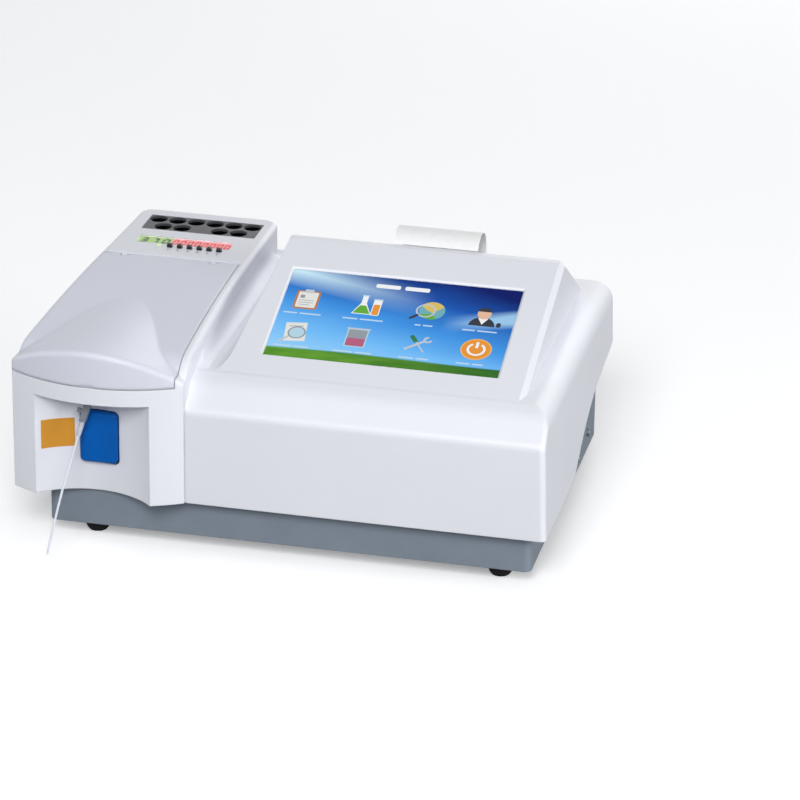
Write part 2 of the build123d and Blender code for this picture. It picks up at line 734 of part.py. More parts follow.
# Rear panel with openings for the inlet, switch, ports, fan and waste nozzle
panel_left_x = chassis_left_x + sheet + panel_gap
panel_right_x = chassis_right_x - sheet - panel_gap
panel_front_y = chassis_rear_y - sheet
fan_hole_spacing = fan_size - 10
usb_width, usb_height = 13.4, 6.2
serial_width, serial_height = 19.6, 11.0
inlet_flange = 4.0
inlet_screw_pitch = 40.0
with BuildPart() as rear_panel:
    block(panel_left_x, panel_right_x, panel_front_y, chassis_rear_y,
          floor_z + panel_gap, panel_top_z)
    for side_x, side_z in panel_screw_places:
        rod((side_x, chassis_rear_y + 1, side_z), FRONT, small_screw[2] + running_gap, 4,
            Mode.SUBTRACT)
    rod((fan_x, chassis_rear_y + 1, fan_z), FRONT, fan_bore_radius, 4, Mode.SUBTRACT)
    for step_x in (-fan_hole_spacing / 2, fan_hole_spacing / 2):
        for step_z in (-fan_hole_spacing / 2, fan_hole_spacing / 2):
            rod((fan_x + step_x, chassis_rear_y + 1, fan_z + step_z), FRONT,
                small_screw[2] + running_gap, 4, Mode.SUBTRACT)
    rod((waste_x, chassis_rear_y + 1, port_z), FRONT, waste_radius + 1.5 + running_gap, 4,
        Mode.SUBTRACT)
    for centre_x, width, height in ((inlet_x, inlet_width, inlet_height),
                                    (switch_x, switch_width, switch_height),
                                    (usb_places[0], usb_width, usb_height),
                                    (usb_places[1], usb_width, usb_height),
                                    (serial_x, serial_width, serial_height)):
        block(centre_x - width / 2 - panel_gap, centre_x + width / 2 + panel_gap,
              panel_front_y - 1, chassis_rear_y + 1,
              port_z - height / 2 - panel_gap, port_z + height / 2 + panel_gap, Mode.SUBTRACT)
rear_panel.part.label = "rear_panel"
export_step(rear_panel.part, "parts/rear_panel.step")

# Cooling fan: frame inside the panel, rotor on its shaft, wire guard outside
fan_front_y = panel_front_y - fan_depth
fan_shaft_radius = 1.5
with BuildPart() as fan_frame:
    block(fan_x - fan_size / 2, fan_x + fan_size / 2, fan_front_y, panel_front_y,
          fan_z - fan_size / 2, fan_z + fan_size / 2)
    rod((fan_x, fan_front_y - 1, fan_z), REAR, fan_bore_radius, fan_depth + 2, Mode.SUBTRACT)
    for turn in range(3):
        with BuildSketch(Plane.XZ.offset(-fan_front_y)):
            with Locations((fan_x, fan_z)):
                with Locations(Rotation(0, 0, 90 + 120 * turn)):
                    with Locations((fan_bore_radius / 2 + 4, 0)):
                        Rectangle(fan_bore_radius, 4)
        extrude(amount=-2)
    rod((fan_x, fan_front_y, fan_z), REAR, fan_hub_radius - 1, 2)
    rod((fan_x, fan_front_y - 1, fan_z), REAR, fan_shaft_radius + running_gap, 4, Mode.SUBTRACT)
    for step_x in (-fan_hole_spacing / 2, fan_hole_spacing / 2):
        for step_z in (-fan_hole_spacing / 2, fan_hole_spacing / 2):
            rod((fan_x + step_x, panel_front_y + 1, fan_z + step_z), FRONT,
                small_screw[2] + running_gap, fan_depth + 2, Mode.SUBTRACT)
fan_frame.part.label = "fan_frame"
export_step(fan_frame.part, "parts/fan_frame.step")

blade_length = fan_bore_radius - 0.8 - fan_hub_radius
with BuildPart() as fan_rotor:
    rod((fan_x, fan_front_y + 2.4, fan_z), REAR, fan_hub_radius, fan_depth - 4)
    rod((fan_x, fan_front_y + 0.2, fan_z), REAR, fan_shaft_radius, 4)
    for number in range(blade_count):
        turn = radians(360 * number / blade_count)
        blade_plane = Plane(origin=(fan_x, fan_front_y + fan_depth / 2 + 0.4, fan_z),
                            z_dir=(sin(turn), 0, cos(turn)), x_dir=FRONT)
        with BuildSketch(blade_plane.offset(fan_hub_radius - 1)):
            Rectangle(10, 1.4, rotation=38)
        extrude(amount=blade_length + 1)
fan_rotor.part.label = "fan_rotor"
export_step(fan_rotor.part, "parts/fan_rotor.step")

guard_thickness = 1.2
with BuildPart() as fan_guard:
    with BuildSketch(Plane.XZ.offset(-chassis_rear_y)):
        with Locations((fan_x, fan_z)):
            for ring in (8, 14, 20, 26):
                Circle(ring + 0.7)
                Circle(ring - 0.7, mode=Mode.SUBTRACT)
            Circle(4)
            for turn in (45, 135):
                Rectangle(fan_hole_spacing * sqrt(2), 1.6, rotation=turn)
            with GridLocations(fan_hole_spacing, fan_hole_spacing, 2, 2):
                Circle(3)
                Circle(small_screw[2] + running_gap, mode=Mode.SUBTRACT)
    extrude(amount=-guard_thickness)
fan_guard.part.label = "fan_guard"
export_step(fan_guard.part, "parts/fan_guard.step")

# Mains inlet, rocker switch and ports
with BuildPart() as power_inlet:
    block(inlet_x - inlet_width / 2, inlet_x + inlet_width / 2, panel_front_y - 14,
          chassis_rear_y, port_z - inlet_height / 2, port_z + inlet_height / 2)
    block(inlet_x - inlet_width / 2 - inlet_flange, inlet_x + inlet_width / 2 + inlet_flange,
          chassis_rear_y, chassis_rear_y + 2.5, port_z - inlet_height / 2 - 2,
          port_z + inlet_height / 2 + 2)
    with BuildSketch(Plane.XZ.offset(-chassis_rear_y - 2.5)):
        with Locations((inlet_x, port_z)):
            Rectangle(24, 16.5)
    extrude(amount=13, mode=Mode.SUBTRACT)
    for step, rise in ((-7, -1.5), (7, -1.5), (0, 2.5)):
        block(inlet_x + step - 1, inlet_x + step + 1, panel_front_y - 18, chassis_rear_y - 2,
              port_z + rise - 2, port_z + rise + 2)
power_inlet.part.label = "power_inlet"
export_step(power_inlet.part, "parts/power_inlet.step")

rocker_axis_y = chassis_rear_y - 1.0
switch_rim = 1.8
with BuildPart() as power_switch:
    block(switch_x - switch_width / 2, switch_x + switch_width / 2, panel_front_y - 12,
          chassis_rear_y, port_z - switch_height / 2, port_z + switch_height / 2)
    block(switch_x - switch_width / 2 - 2, switch_x + switch_width / 2 + 2, chassis_rear_y,
          chassis_rear_y + 1.6, port_z - switch_height / 2 - 2, port_z + switch_height / 2 + 2)
    block(switch_x - switch_width / 2 + switch_rim, switch_x + switch_width / 2 - switch_rim,
          rocker_axis_y - 6, chassis_rear_y + 3, port_z - switch_height / 2 + switch_rim,
          port_z + switch_height / 2 - switch_rim, Mode.SUBTRACT)
    rod((switch_x, rocker_axis_y, port_z - switch_height / 2 + 0.8), UP, 1.0 + running_gap,
        switch_height - 1.6, Mode.SUBTRACT)
power_switch.part.label = "power_switch"
export_step(power_switch.part, "parts/power_switch.step")

rocker_half = switch_width / 2 - switch_rim - 0.8
rocker_low_z = port_z - switch_height / 2 + switch_rim + part_gap
with BuildPart() as switch_rocker:
    with BuildSketch(Plane.XY.offset(rocker_low_z)):
        with BuildLine():
            Polyline((switch_x - rocker_half + 0.8, rocker_axis_y - 4.5),
                     (switch_x - rocker_half + 0.5, chassis_rear_y + 1.2),
                     (switch_x, chassis_rear_y + 1.8),
                     (switch_x + rocker_half - 0.5, chassis_rear_y + 4.2),
                     (switch_x + rocker_half - 0.8, rocker_axis_y - 4.5), close=True)
        make_face()
    extrude(amount=2 * (port_z - rocker_low_z))
    rod((switch_x, rocker_axis_y, port_z - switch_height / 2 + 1.0), UP, 1.0, switch_height - 2)
switch_rocker.part.label = "switch_rocker"
export_step(switch_rocker.part, "parts/switch_rocker.step")

with BuildPart() as data_ports:
    for centre_x in usb_places:
        block(centre_x - usb_width / 2, centre_x + usb_width / 2, panel_front_y - 12,
              chassis_rear_y + 0.6, port_z - usb_height / 2, port_z + usb_height / 2)
        block(centre_x - usb_width / 2 + 0.6, centre_x + usb_width / 2 - 0.6,
              panel_front_y - 9, chassis_rear_y + 2, port_z - usb_height / 2 + 0.6,
              port_z + usb_height / 2 - 0.6, Mode.SUBTRACT)
        block(centre_x - 5.4, centre_x + 5.4, panel_front_y - 9.5, chassis_rear_y - 0.4,
              port_z + 0.2, port_z + 1.8)
    block(serial_x - serial_width / 2, serial_x + serial_width / 2, panel_front_y - 8,
          chassis_rear_y, port_z - serial_height / 2, port_z + serial_height / 2)
    block(serial_x - 15.4, serial_x + 15.4, chassis_rear_y, chassis_rear_y + 1,
          port_z - 6.2, port_z + 6.2)
    with BuildSketch(Plane.XZ.offset(-chassis_rear_y - 1)):
        with Locations((serial_x, port_z)):
            Trapezoid(17, 8.6, 80, rotation=180)
            Trapezoid(15.8, 7.4, 80, rotation=180, mode=Mode.SUBTRACT)
    extrude(amount=-4.5)
    for column in range(5):
        rod((serial_x + (column - 2) * 2.7, chassis_rear_y, port_z + 1.4), REAR, 0.5, 4.5)
    for column in range(4):
        rod((serial_x + (column - 1.5) * 2.7, chassis_rear_y, port_z - 1.4), REAR, 0.5, 4.5)
data_ports.part.label = "data_ports"
export_step(data_ports.part, "parts/data_ports.step")

with BuildPart() as waste_nozzle:
    rod((waste_x, panel_front_y - 8, port_z), REAR, waste_radius, 19.3)
    rod((waste_x, panel_front_y - 4, port_z), REAR, waste_radius + 1.5, 4 + sheet + 0.01)
    rod((waste_x, chassis_rear_y, port_z), REAR, waste_radius + 3, 2.5)
    for ridge in (0, 1):
        with Locations(Plane(origin=(waste_x, chassis_rear_y + 4.2 + 2.4 * ridge, port_z),
                             z_dir=REAR)):
            Cone(waste_radius + 0.7, waste_radius, 2, align=(Align.CENTER, Align.CENTER, Align.MIN))
    rod((waste_x, panel_front_y - 9, port_z), REAR, waste_radius - 1.2, 24, Mode.SUBTRACT)
waste_nozzle.part.label = "waste_nozzle"
export_step(waste_nozzle.part, "parts/waste_nozzle.step")

# Screen: glass, display module, bracket behind it and the bracket's screws
with BuildPart() as touch_panel:
    with BuildSketch(screen_plane.offset(-glass_depth - glass_thickness)):
        RectangleRounded(glass_width, glass_height, 2)
    extrude(amount=glass_thickness)
touch_panel.part.label = "touch_panel"
export_step(touch_panel.part, "parts/touch_panel.step")

with BuildPart() as lcd_module:
    with BuildSketch(screen_plane.offset(-lcd_back)):
        Rectangle(glass_width - 1, glass_height - 1)
    extrude(amount=lcd_thickness)
    with BuildSketch(screen_plane.offset(-lcd_back)):
        Rectangle(glass_width - 16, glass_height - 16)
    extrude(amount=0.8, mode=Mode.SUBTRACT)
lcd_module.part.label = "lcd_module"
export_step(lcd_module.part, "parts/lcd_module.step")

with BuildPart() as screen_bracket:
    with BuildSketch(screen_plane.offset(-lcd_back)):
        Rectangle(screen_boss_span_x + 12, screen_boss_pitch_y + 10)
        Rectangle(glass_width - 2 * bracket_side, glass_height - 2 * bracket_end,
                  mode=Mode.SUBTRACT)
        with GridLocations(screen_boss_span_x, screen_boss_pitch_y, 2, 2):
            Circle(small_screw[2] + running_gap, mode=Mode.SUBTRACT)
    extrude(amount=-bracket_thickness)
screen_bracket.part.label = "screen_bracket"
export_step(screen_bracket.part, "parts/screen_bracket.step")

# Main board on the chassis's standoffs, with its components
board_z = floor_z + standoff_height
chip_z = board_z + board_thickness
board_left = mainboard_x - mainboard_width / 2
board_front = mainboard_y - mainboard_depth / 2
with BuildPart() as main_board:
    block(board_left, board_left + mainboard_width, board_front,
          board_front + mainboard_depth, board_z, board_z + board_thickness)
    block(mainboard_x - 14, mainboard_x + 14, mainboard_y - 14, mainboard_y + 14,
          chip_z, chip_z + 2.2)
    for column in range(3):
        block(mainboard_x + 22, mainboard_x + 34, mainboard_y - 30 + 16 * column,
              mainboard_y - 18 + 16 * column, chip_z, chip_z + 1.6)
    for column in range(5):
        rod((board_left + 16, board_front + 18 + 13 * column, chip_z), UP, 4.0, 11)
    for column in range(3):
        connector_x = board_left + connector_width + connector_pitch * column
        block(connector_x, connector_x + connector_width,
              board_front + mainboard_depth - 12, board_front + mainboard_depth - 4,
              chip_z, chip_z + 8)
main_board.part.label = "main_board"
export_step(main_board.part, "parts/main_board.step")

# Power supply screwed to the chassis side
supply_right_x = chassis_right_x - sheet
with BuildPart() as power_supply:
    block(supply_right_x - supply_width, supply_right_x, supply_front_y,
          supply_front_y + supply_depth, floor_z, floor_z + supply_height)
    for side_y, side_z in side_screw_places:
        rod((supply_right_x + 1, side_y, side_z), LEFT, small_screw[2] + running_gap, 9,
            Mode.SUBTRACT)
    with BuildSketch(Plane.XY.offset(floor_z + supply_height)):
        with Locations((supply_right_x - supply_width / 2, supply_front_y + supply_depth / 2)):
            with GridLocations(7, 30, 5, 2):
                SlotOverall(24, 2.5, rotation=90)
    extrude(amount=-1.5, mode=Mode.SUBTRACT)
power_supply.part.label = "power_supply"
export_step(power_supply.part, "parts/power_supply.step")

# Incubator: a block of wells on its bracket, under a black plate in the tower's deck
well_places = ([(well_left_x + well_pitch * column, well_back_y) for column in range(6)]
               + [(well_left_x + well_pitch * (column + 0.5), well_front_y)
                  for column in (0, 1, 3, 4)])
plate_low_z = tower_top_z - plate_sink - plate_thickness
with BuildPart() as incubator_panel:
    block(plate_left_x + part_gap, plate_right_x - part_gap, plate_front_y + part_gap,
          plate_back_y - part_gap, plate_low_z, plate_low_z + plate_thickness)
    for place in well_places:
        rod((*place, plate_low_z - 1), UP, well_radius + plate_hole_gap, plate_thickness + 2, Mode.SUBTRACT)
incubator_panel.part.label = "incubator_panel"
export_step(incubator_panel.part, "parts/incubator_panel.step")

block_low_z = plate_low_z - well_depth - block_floor
with BuildPart() as incubator_block:
    block(plate_left_x + block_margin, plate_right_x - block_margin,
          plate_front_y + block_margin, plate_back_y - block_margin, block_low_z, plate_low_z)
    for place in well_places:
        rod((*place, plate_low_z + 1), DOWN, well_radius, well_depth + 1, Mode.SUBTRACT)
incubator_block.part.label = "incubator_block"
export_step(incubator_block.part, "parts/incubator_block.step")

bracket_rear_y = panel_front_y - fan_depth - 1.5
with BuildPart() as incubator_bracket:
    block(plate_left_x, plate_right_x, plate_front_y, bracket_rear_y,
          block_low_z - sheet, block_low_z)
    for leg_x in (plate_left_x, plate_right_x - sheet):
        block(leg_x, leg_x + sheet, plate_front_y, bracket_rear_y, floor_z, block_low_z)
        block(leg_x, leg_x + 10 if leg_x < tower_x else leg_x + sheet, plate_front_y,
              bracket_rear_y, floor_z, floor_z + sheet)
incubator_bracket.part.label = "incubator_bracket"
export_step(incubator_bracket.part, "parts/incubator_bracket.step")

# Timer panel: window, two displays, their board with its switches, six buttons, a lamp
window_gap = 0.15
with BuildPart() as display_window:
    block(display_left_x + window_gap, display_right_x - window_gap,
          display_front_y + window_gap, display_back_y - window_gap,
          tower_top_z - window_thickness, tower_top_z)
display_window.part.label = "display_window"
export_step(display_window.part, "parts/display_window.step")

with BuildPart() as temp_display:
    block(display_left_x + part_gap, display_split_x - window_gap, display_front_y + part_gap,
          display_back_y - part_gap, board_top_z, board_top_z + display_height)
temp_display.part.label = "temp_display"
export_step(temp_display.part, "parts/temp_display.step")

with BuildPart() as timer_display:
    block(display_split_x + window_gap, display_right_x - part_gap, display_front_y + part_gap,
          display_back_y - part_gap, board_top_z, board_top_z + display_height)
timer_display.part.label = "timer_display"
export_step(timer_display.part, "parts/timer_display.step")

button_places = [button_first_x + number * button_pitch for number in range(button_count)]
with BuildPart() as display_board:
    block(timer_board_left_x, timer_board_right_x, timer_board_front_y, timer_board_back_y,
          board_top_z - board_thickness, board_top_z)
    for centre_x in button_places:
        block(centre_x - 2.6, centre_x + 2.6, button_y - 2.6, button_y + 2.6,
              board_top_z, board_top_z + switch_rise)
display_board.part.label = "display_board"
export_step(display_board.part, "parts/display_board.step")

button_low_z = board_top_z + switch_rise + button_travel + part_gap
lip_top_z = tower_top_z - wall - part_gap
for number, centre_x in enumerate(button_places, start=1):
    with BuildPart() as timer_button:
        block(centre_x - button_width / 2, centre_x + button_width / 2,
              button_y - button_depth / 2, button_y + button_depth / 2,
              button_low_z, tower_top_z + button_rise)
        top = timer_button.faces().sort_by(Axis.Z)[-1]
        fillet(top.edges(), button_round)
        block(centre_x - button_width / 2 - 0.8, centre_x + button_width / 2 + 0.8,
              button_y - button_depth / 2 - 0.8, button_y + button_depth / 2 + 0.8,
              lip_top_z - 1.2, lip_top_z)
    timer_button.part.label = f"timer_button_{number}"
    export_step(timer_button.part, f"parts/timer_button_{number}.step")

with BuildPart() as status_led:
    rod((led_x, button_y, board_top_z), UP, led_radius, tower_top_z - board_top_z - 0.7)
    with Locations((led_x, button_y, tower_top_z - 0.7)):
        Sphere(led_radius)
status_led.part.label = "status_led"
export_step(status_led.part, "parts/status_led.step")

# Tray under the lid, closed at the rear by a plate down to the chassis floor
wheel_slot = wheel_thickness / 2 + 1.5
drain_x = pump_x + pump_tube_ring
drain_y = -41.0
drain_radius = 4.5
roller_mid_z = tray_top_z + pump_height / 2
with BuildPart() as inner_tray:
    with BuildSketch(Plane.XY.offset(tray_z)):
        add(tower_outline(wall + 0.5))
        with Locations((tower_x, tray_rear_y)):
            Rectangle(cover_width, cover_depth, align=(Align.CENTER, Align.MIN),
                      mode=Mode.SUBTRACT)
    extrude(amount=tray_thickness)
    block(plate_left_x, plate_right_x, tray_rear_y - sheet, tray_rear_y, floor_z, tray_z + 0.5)
    block(wheel_x - wheel_slot, wheel_x + wheel_slot, light_y - wheel_radius - 1.5,
          light_y + wheel_radius + 1.5, tray_z - 1, tray_top_z + 1, Mode.SUBTRACT)
    rod((pump_x, pump_y, tray_z - 1), UP, pump_shaft_radius + 1, tray_thickness + 2,
        Mode.SUBTRACT)
    rod((sipper_top[0], sipper_top[1], tray_z - 1), UP, tube_radius + part_gap,
        tray_thickness + 2, Mode.SUBTRACT)
    rod((drain_x, drain_y, tray_z - 9), UP, 2.2, 10)
    rod((drain_x, drain_y, tray_z), UP, drain_radius, pump_height + 0.5)
    rod((drain_x, drain_y, tray_z - 10), UP, 1.2, roller_mid_z - tray_z + 10, Mode.SUBTRACT)
inner_tray.part.label = "inner_tray"
export_step(inner_tray.part, "parts/inner_tray.step")

# Photometer: lamp house, filter wheel with its motor, flow cell block, detector
lamp_width = 12.0
lamp_right_x = wheel_x - wheel_thickness / 2 - 3
with BuildPart() as lamp_house:
    block(lamp_right_x - lamp_width, lamp_right_x, light_y - 11, light_y + 11,
          tray_top_z, light_z + 11)
    rod((lamp_right_x + 1, light_y, light_z), LEFT, light_bore_radius, lamp_width - 1,
        Mode.SUBTRACT)
    with BuildSketch(Plane.XY.offset(light_z + 11)):
        with Locations((lamp_right_x - lamp_width / 2, light_y)):
            with GridLocations(1, 4.5, 1, 4):
                SlotOverall(8, 1.6)
    extrude(amount=-4, mode=Mode.SUBTRACT)
lamp_house.part.label = "lamp_house"
export_step(lamp_house.part, "parts/lamp_house.step")

motor_left_x = wheel_x + wheel_thickness / 2 + 3
motor_half = tray_z - wheel_z
with BuildPart() as filter_wheel:
    wheel_start = (wheel_x - wheel_thickness / 2, light_y, wheel_z)
    rod(wheel_start, RIGHT, wheel_radius, wheel_thickness)
    rod(wheel_start, RIGHT, 6, wheel_thickness + 2)
    rod(wheel_start, RIGHT, wheel_shaft_radius, wheel_thickness + 9)
    with BuildSketch(Plane.YZ.offset(wheel_x - wheel_thickness)):
        with Locations((light_y, wheel_z)):
            with PolarLocations(filter_ring_radius, filter_count, start_angle=90):
                Circle(filter_radius)
            with PolarLocations(14.5, 6, start_angle=30):
                Circle(4.5)
    extrude(amount=2 * wheel_thickness, mode=Mode.SUBTRACT)
filter_wheel.part.label = "filter_wheel"
export_step(filter_wheel.part, "parts/filter_wheel.step")

with BuildPart() as filter_motor:
    block(motor_left_x, motor_left_x + wheel_motor_length, light_y - motor_half,
          light_y + motor_half, wheel_z - motor_half, wheel_z + motor_half)
    chamfer(filter_motor.edges().filter_by(Axis.X), 2.5)
    rod((motor_left_x - 1, light_y, wheel_z), RIGHT, wheel_shaft_radius + running_gap, 9,
        Mode.SUBTRACT)
filter_motor.part.label = "filter_motor"
export_step(filter_motor.part, "parts/filter_motor.step")

cell_front_y = light_y - cell_depth / 2
fitting_length = 3.0
sample_fitting_x = cell_x - 3.0
drain_fitting_x = pump_x - pump_tube_ring
sample_fitting_z = light_z - 3.0
with BuildPart() as flow_cell_block:
    block(cell_x - cell_width / 2, cell_x + cell_width / 2, cell_front_y,
          cell_front_y + cell_depth, tray_top_z, tray_top_z + cell_height)
    chamfer(flow_cell_block.faces().sort_by(Axis.Z)[-1].edges(), 1.0)
    rod((cell_x - cell_width, light_y, light_z), RIGHT, light_bore_radius, 2 * cell_width,
        Mode.SUBTRACT)
    rod((sample_fitting_x, cell_front_y + 1, sample_fitting_z), FRONT, 2.6, fitting_length + 1)
    rod((drain_fitting_x, cell_front_y + 1, roller_mid_z), FRONT, 3.2, fitting_length + 1)
flow_cell_block.part.label = "flow_cell_block"
export_step(flow_cell_block.part, "parts/flow_cell_block.step")

detector_x = cell_x + cell_width / 2 + 2
with BuildPart() as detector:
    block(detector_x, detector_x + 6, light_y - 10, light_y + 10, tray_top_z, light_z + 10)
    rod((detector_x - 1, light_y, light_z), RIGHT, light_bore_radius - 1, 4, Mode.SUBTRACT)
detector.part.label = "detector"
export_step(detector.part, "parts/detector.step")

# Peristaltic pump: motor under the tray, head, rotor with its rollers, tubing
with BuildPart() as pump_motor:
    rod((pump_x, pump_y, tray_z - pump_motor_length), UP, pump_motor_radius, pump_motor_length)
    rod((pump_x, pump_y, tray_z + 1), DOWN, pump_shaft_radius + running_gap, 13, Mode.SUBTRACT)
pump_motor.part.label = "pump_motor"
export_step(pump_motor.part, "parts/pump_motor.step")

pump_head_half_x = 25.0
pump_head_half_y = 23.0
with BuildPart() as pump_head:
    block(pump_x - pump_head_half_x, pump_x + pump_head_half_x, pump_y - pump_head_half_y,
          pump_y + pump_head_half_y, tray_top_z, tray_top_z + pump_height)
    fillet(pump_head.edges().filter_by(Axis.Z), 5)
    rod((pump_x, pump_y, tray_top_z - 1), UP, pump_bore_radius, pump_height + 2, Mode.SUBTRACT)
    block(pump_x - pump_bore_radius, pump_x + pump_bore_radius, pump_y,
          pump_y + pump_head_half_y + 1, tray_top_z - 1, tray_top_z + pump_height + 1,
          Mode.SUBTRACT)
pump_head.part.label = "pump_head"
export_step(pump_head.part, "parts/pump_head.step")

disc_radius = roller_ring_radius + roller_radius - 0.8
disc_thickness = 1.8
roller_length = pump_height - 1.2 - 2 * disc_thickness - 2 * part_gap
with BuildPart() as roller:
    Cylinder(roller_radius, roller_length)
    Cylinder(roller_pin_radius + running_gap, roller_length, mode=Mode.SUBTRACT)

with BuildPart() as pump_rotor:
    rod((pump_x, pump_y, tray_z - 10), UP, pump_shaft_radius, 10 + tray_thickness + pump_height)
    for disc_z in (tray_top_z + 0.6, tray_top_z + pump_height - 0.6 - disc_thickness):
        rod((pump_x, pump_y, disc_z), UP, disc_radius, disc_thickness)
    with Locations((pump_x, pump_y, roller_mid_z)):
        with PolarLocations(roller_ring_radius, roller_count):
            Cylinder(roller_pin_radius, pump_height - 2)
    # the rollers are loose on their pins, so each stays a solid of its own
    with Locations((pump_x, pump_y, roller_mid_z)):
        with PolarLocations(roller_ring_radius, roller_count):
            add(roller.part)
pump_rotor.part.label = "pump_rotor"
export_step(pump_rotor.part, "parts/pump_rotor.step")

with BuildPart() as pump_tubing:
    with BuildLine() as tubing_path:
        Line((drain_fitting_x, cell_front_y - fitting_length, roller_mid_z),
             (drain_fitting_x, pump_y, roller_mid_z))
        ThreePointArc((drain_fitting_x, pump_y, roller_mid_z),
                      (pump_x, pump_y - pump_tube_ring, roller_mid_z),
                      (drain_x, pump_y, roller_mid_z))
        Line((drain_x, pump_y, roller_mid_z), (drain_x, drain_y - drain_radius, roller_mid_z))
    with BuildSketch(Plane(origin=tubing_path.line @ 0, z_dir=tubing_path.line % 0)):
        Circle(pump_tube_radius)
    sweep()
pump_tubing.part.label = "pump_tubing"
export_step(pump_tubing.part, "parts/pump_tubing.step")

# Start paddle, hung on a pin in its bracket behind the recess's wall
paddle_low_z = paddle_top_z - paddle_height
paddle_back_y = paddle_face_y + paddle_body_depth
barrel_half = 9.0
with BuildPart() as start_paddle:
    block(paddle_x - paddle_width / 2, paddle_x + paddle_width / 2, paddle_face_y, paddle_back_y,
          paddle_low_z, paddle_top_z)
    fillet(start_paddle.edges().filter_by(Axis.Y), paddle_corner)
    front_rim = start_paddle.faces().sort_by(Axis.Y)[0]
    fillet(front_rim.edges(), 1.6)
    block(paddle_x - barrel_half, paddle_x + barrel_half, paddle_back_y - 0.5, paddle_axis_y,
          paddle_axis_z - paddle_barrel_radius, paddle_axis_z + paddle_barrel_radius)
    rod((paddle_x - barrel_half, paddle_axis_y, paddle_axis_z), RIGHT, paddle_barrel_radius,
        2 * barrel_half)
    rod((paddle_x - barrel_half - 1, paddle_axis_y, paddle_axis_z), RIGHT,
        pin_radius + running_gap, 2 * barrel_half + 2, Mode.SUBTRACT)
start_paddle.part.label = "start_paddle"
export_step(start_paddle.part, "parts/start_paddle.step")

bracket_front_y = paddle_axis_y + 5.0
bracket_low_z = chassis_front_top_z + 2
ear_width = 2.5
ear_start = barrel_half + part_gap
with BuildPart() as paddle_bracket:
    block(paddle_x - 17, paddle_x + 17, bracket_front_y, bracket_front_y + bracket_wall,
          bracket_low_z, tray_z)
    block(paddle_x - 17, paddle_x + 17, bracket_front_y, bracket_front_y + 10,
          tray_z - bracket_wall, tray_z)
    for left_x in (paddle_x - ear_start - ear_width, paddle_x + ear_start):
        block(left_x, left_x + ear_width, paddle_axis_y, bracket_front_y + 0.5,
              paddle_axis_z - paddle_barrel_radius, paddle_axis_z + paddle_barrel_radius)
        rod((left_x, paddle_axis_y, paddle_axis_z), RIGHT, paddle_barrel_radius, ear_width)
    rod((paddle_x - 20, paddle_axis_y, paddle_axis_z), RIGHT, pin_radius + 0.01, 40,
        Mode.SUBTRACT)
    # stop that the pressed paddle meets, with the switch's housing round it
    stop_y = paddle_back_y + 1.9
    block(paddle_x - 6, paddle_x + 6, stop_y, bracket_front_y + 0.5, paddle_axis_z - 20,
          paddle_axis_z - 12)
paddle_bracket.part.label = "paddle_bracket"
export_step(paddle_bracket.part, "parts/paddle_bracket.step")

# Sipper: collar, clamp, clear sleeve, and the free tube below
lean_length = sqrt(sum(step ** 2 for step in sipper_lean))
lean = tuple(step / lean_length for step in sipper_lean)


def along_sipper(distance):
    """A point on the sipper's axis, distance below the ceiling of the recess."""
    return tuple(start + distance * step for start, step in zip(sipper_top, lean))


with BuildPart() as sipper_collar:
    rod((sipper_top[0], sipper_top[1], scoop_top_z - 2.4), UP, 4.2, 2.4)
    chamfer(sipper_collar.faces().sort_by(Axis.Z)[0].edges(), 0.8)
    rod((sipper_top[0], sipper_top[1], scoop_top_z - 3), UP, tube_radius + running_gap, 4,
        Mode.SUBTRACT)
sipper_collar.part.label = "sipper_collar"
export_step(sipper_collar.part, "parts/sipper_collar.step")

clamp_start = 3.6
clamp_plane = Plane(origin=along_sipper(clamp_start), z_dir=lean, x_dir=(1, 0, -0.27))
with BuildPart() as sipper_clamp:
    with BuildSketch(clamp_plane):
        Rectangle(4.4, 5.2)
    extrude(amount=holder_length - clamp_start)
    fillet(sipper_clamp.edges().filter_by(lambda e: e.length > holder_length - clamp_start - 1), 0.8)
    with BuildSketch(clamp_plane.offset(6)):
        with Locations((-3.2, 0)):
            SlotOverall(5, 3)
    extrude(amount=2.4)
    rod(along_sipper(2.0), lean, tube_radius + running_gap, holder_length, Mode.SUBTRACT)
sipper_clamp.part.label = "sipper_clamp"
export_step(sipper_clamp.part, "parts/sipper_clamp.step")

with BuildPart() as sipper_sleeve:
    rod(along_sipper(holder_length), lean, sleeve_radius, sleeve_end - holder_length)
    rod(along_sipper(holder_length - 1), lean, tube_radius + running_gap,
        sleeve_end - holder_length + 2, Mode.SUBTRACT)
sipper_sleeve.part.label = "sipper_sleeve"
export_step(sipper_sleeve.part, "parts/sipper_sleeve.step")


def bend_radii(route):
    """The radius of each bend of a route, as large as its two runs allow."""
    radii = []
    for before, corner, after in zip(route, route[1:], route[2:]):
        run_in = Vector(*corner) - Vector(*before)
        run_out = Vector(*after) - Vector(*corner)
        turn = radians(run_in.get_angle(run_out))
        radii.append(0.45 * min(run_in.length, run_out.length) / tan(turn / 2))
    return radii


def tube_along(route, radius):
    """A round tube along a route of straight runs joined by tangent arcs."""
    with BuildPart() as tube:
        with BuildLine() as path:
            FilletPolyline(*route, radius=bend_radii(route))
        with BuildSketch(Plane(origin=path.line @ 0, z_dir=path.line % 0)):
            Circle(radius)
        sweep()
    return tube.part


tube_route = (along_sipper(sleeve_end),) + tube_points
print("bend radii of the sipper tube:", [round(radius, 1) for radius in bend_radii(tube_route)])
with BuildPart() as sipper_tube:
    add(tube_along(tube_route, tube_radius))
sipper_tube.part.label = "sipper_tube"
export_step(sipper_tube.part, "parts/sipper_tube.step")

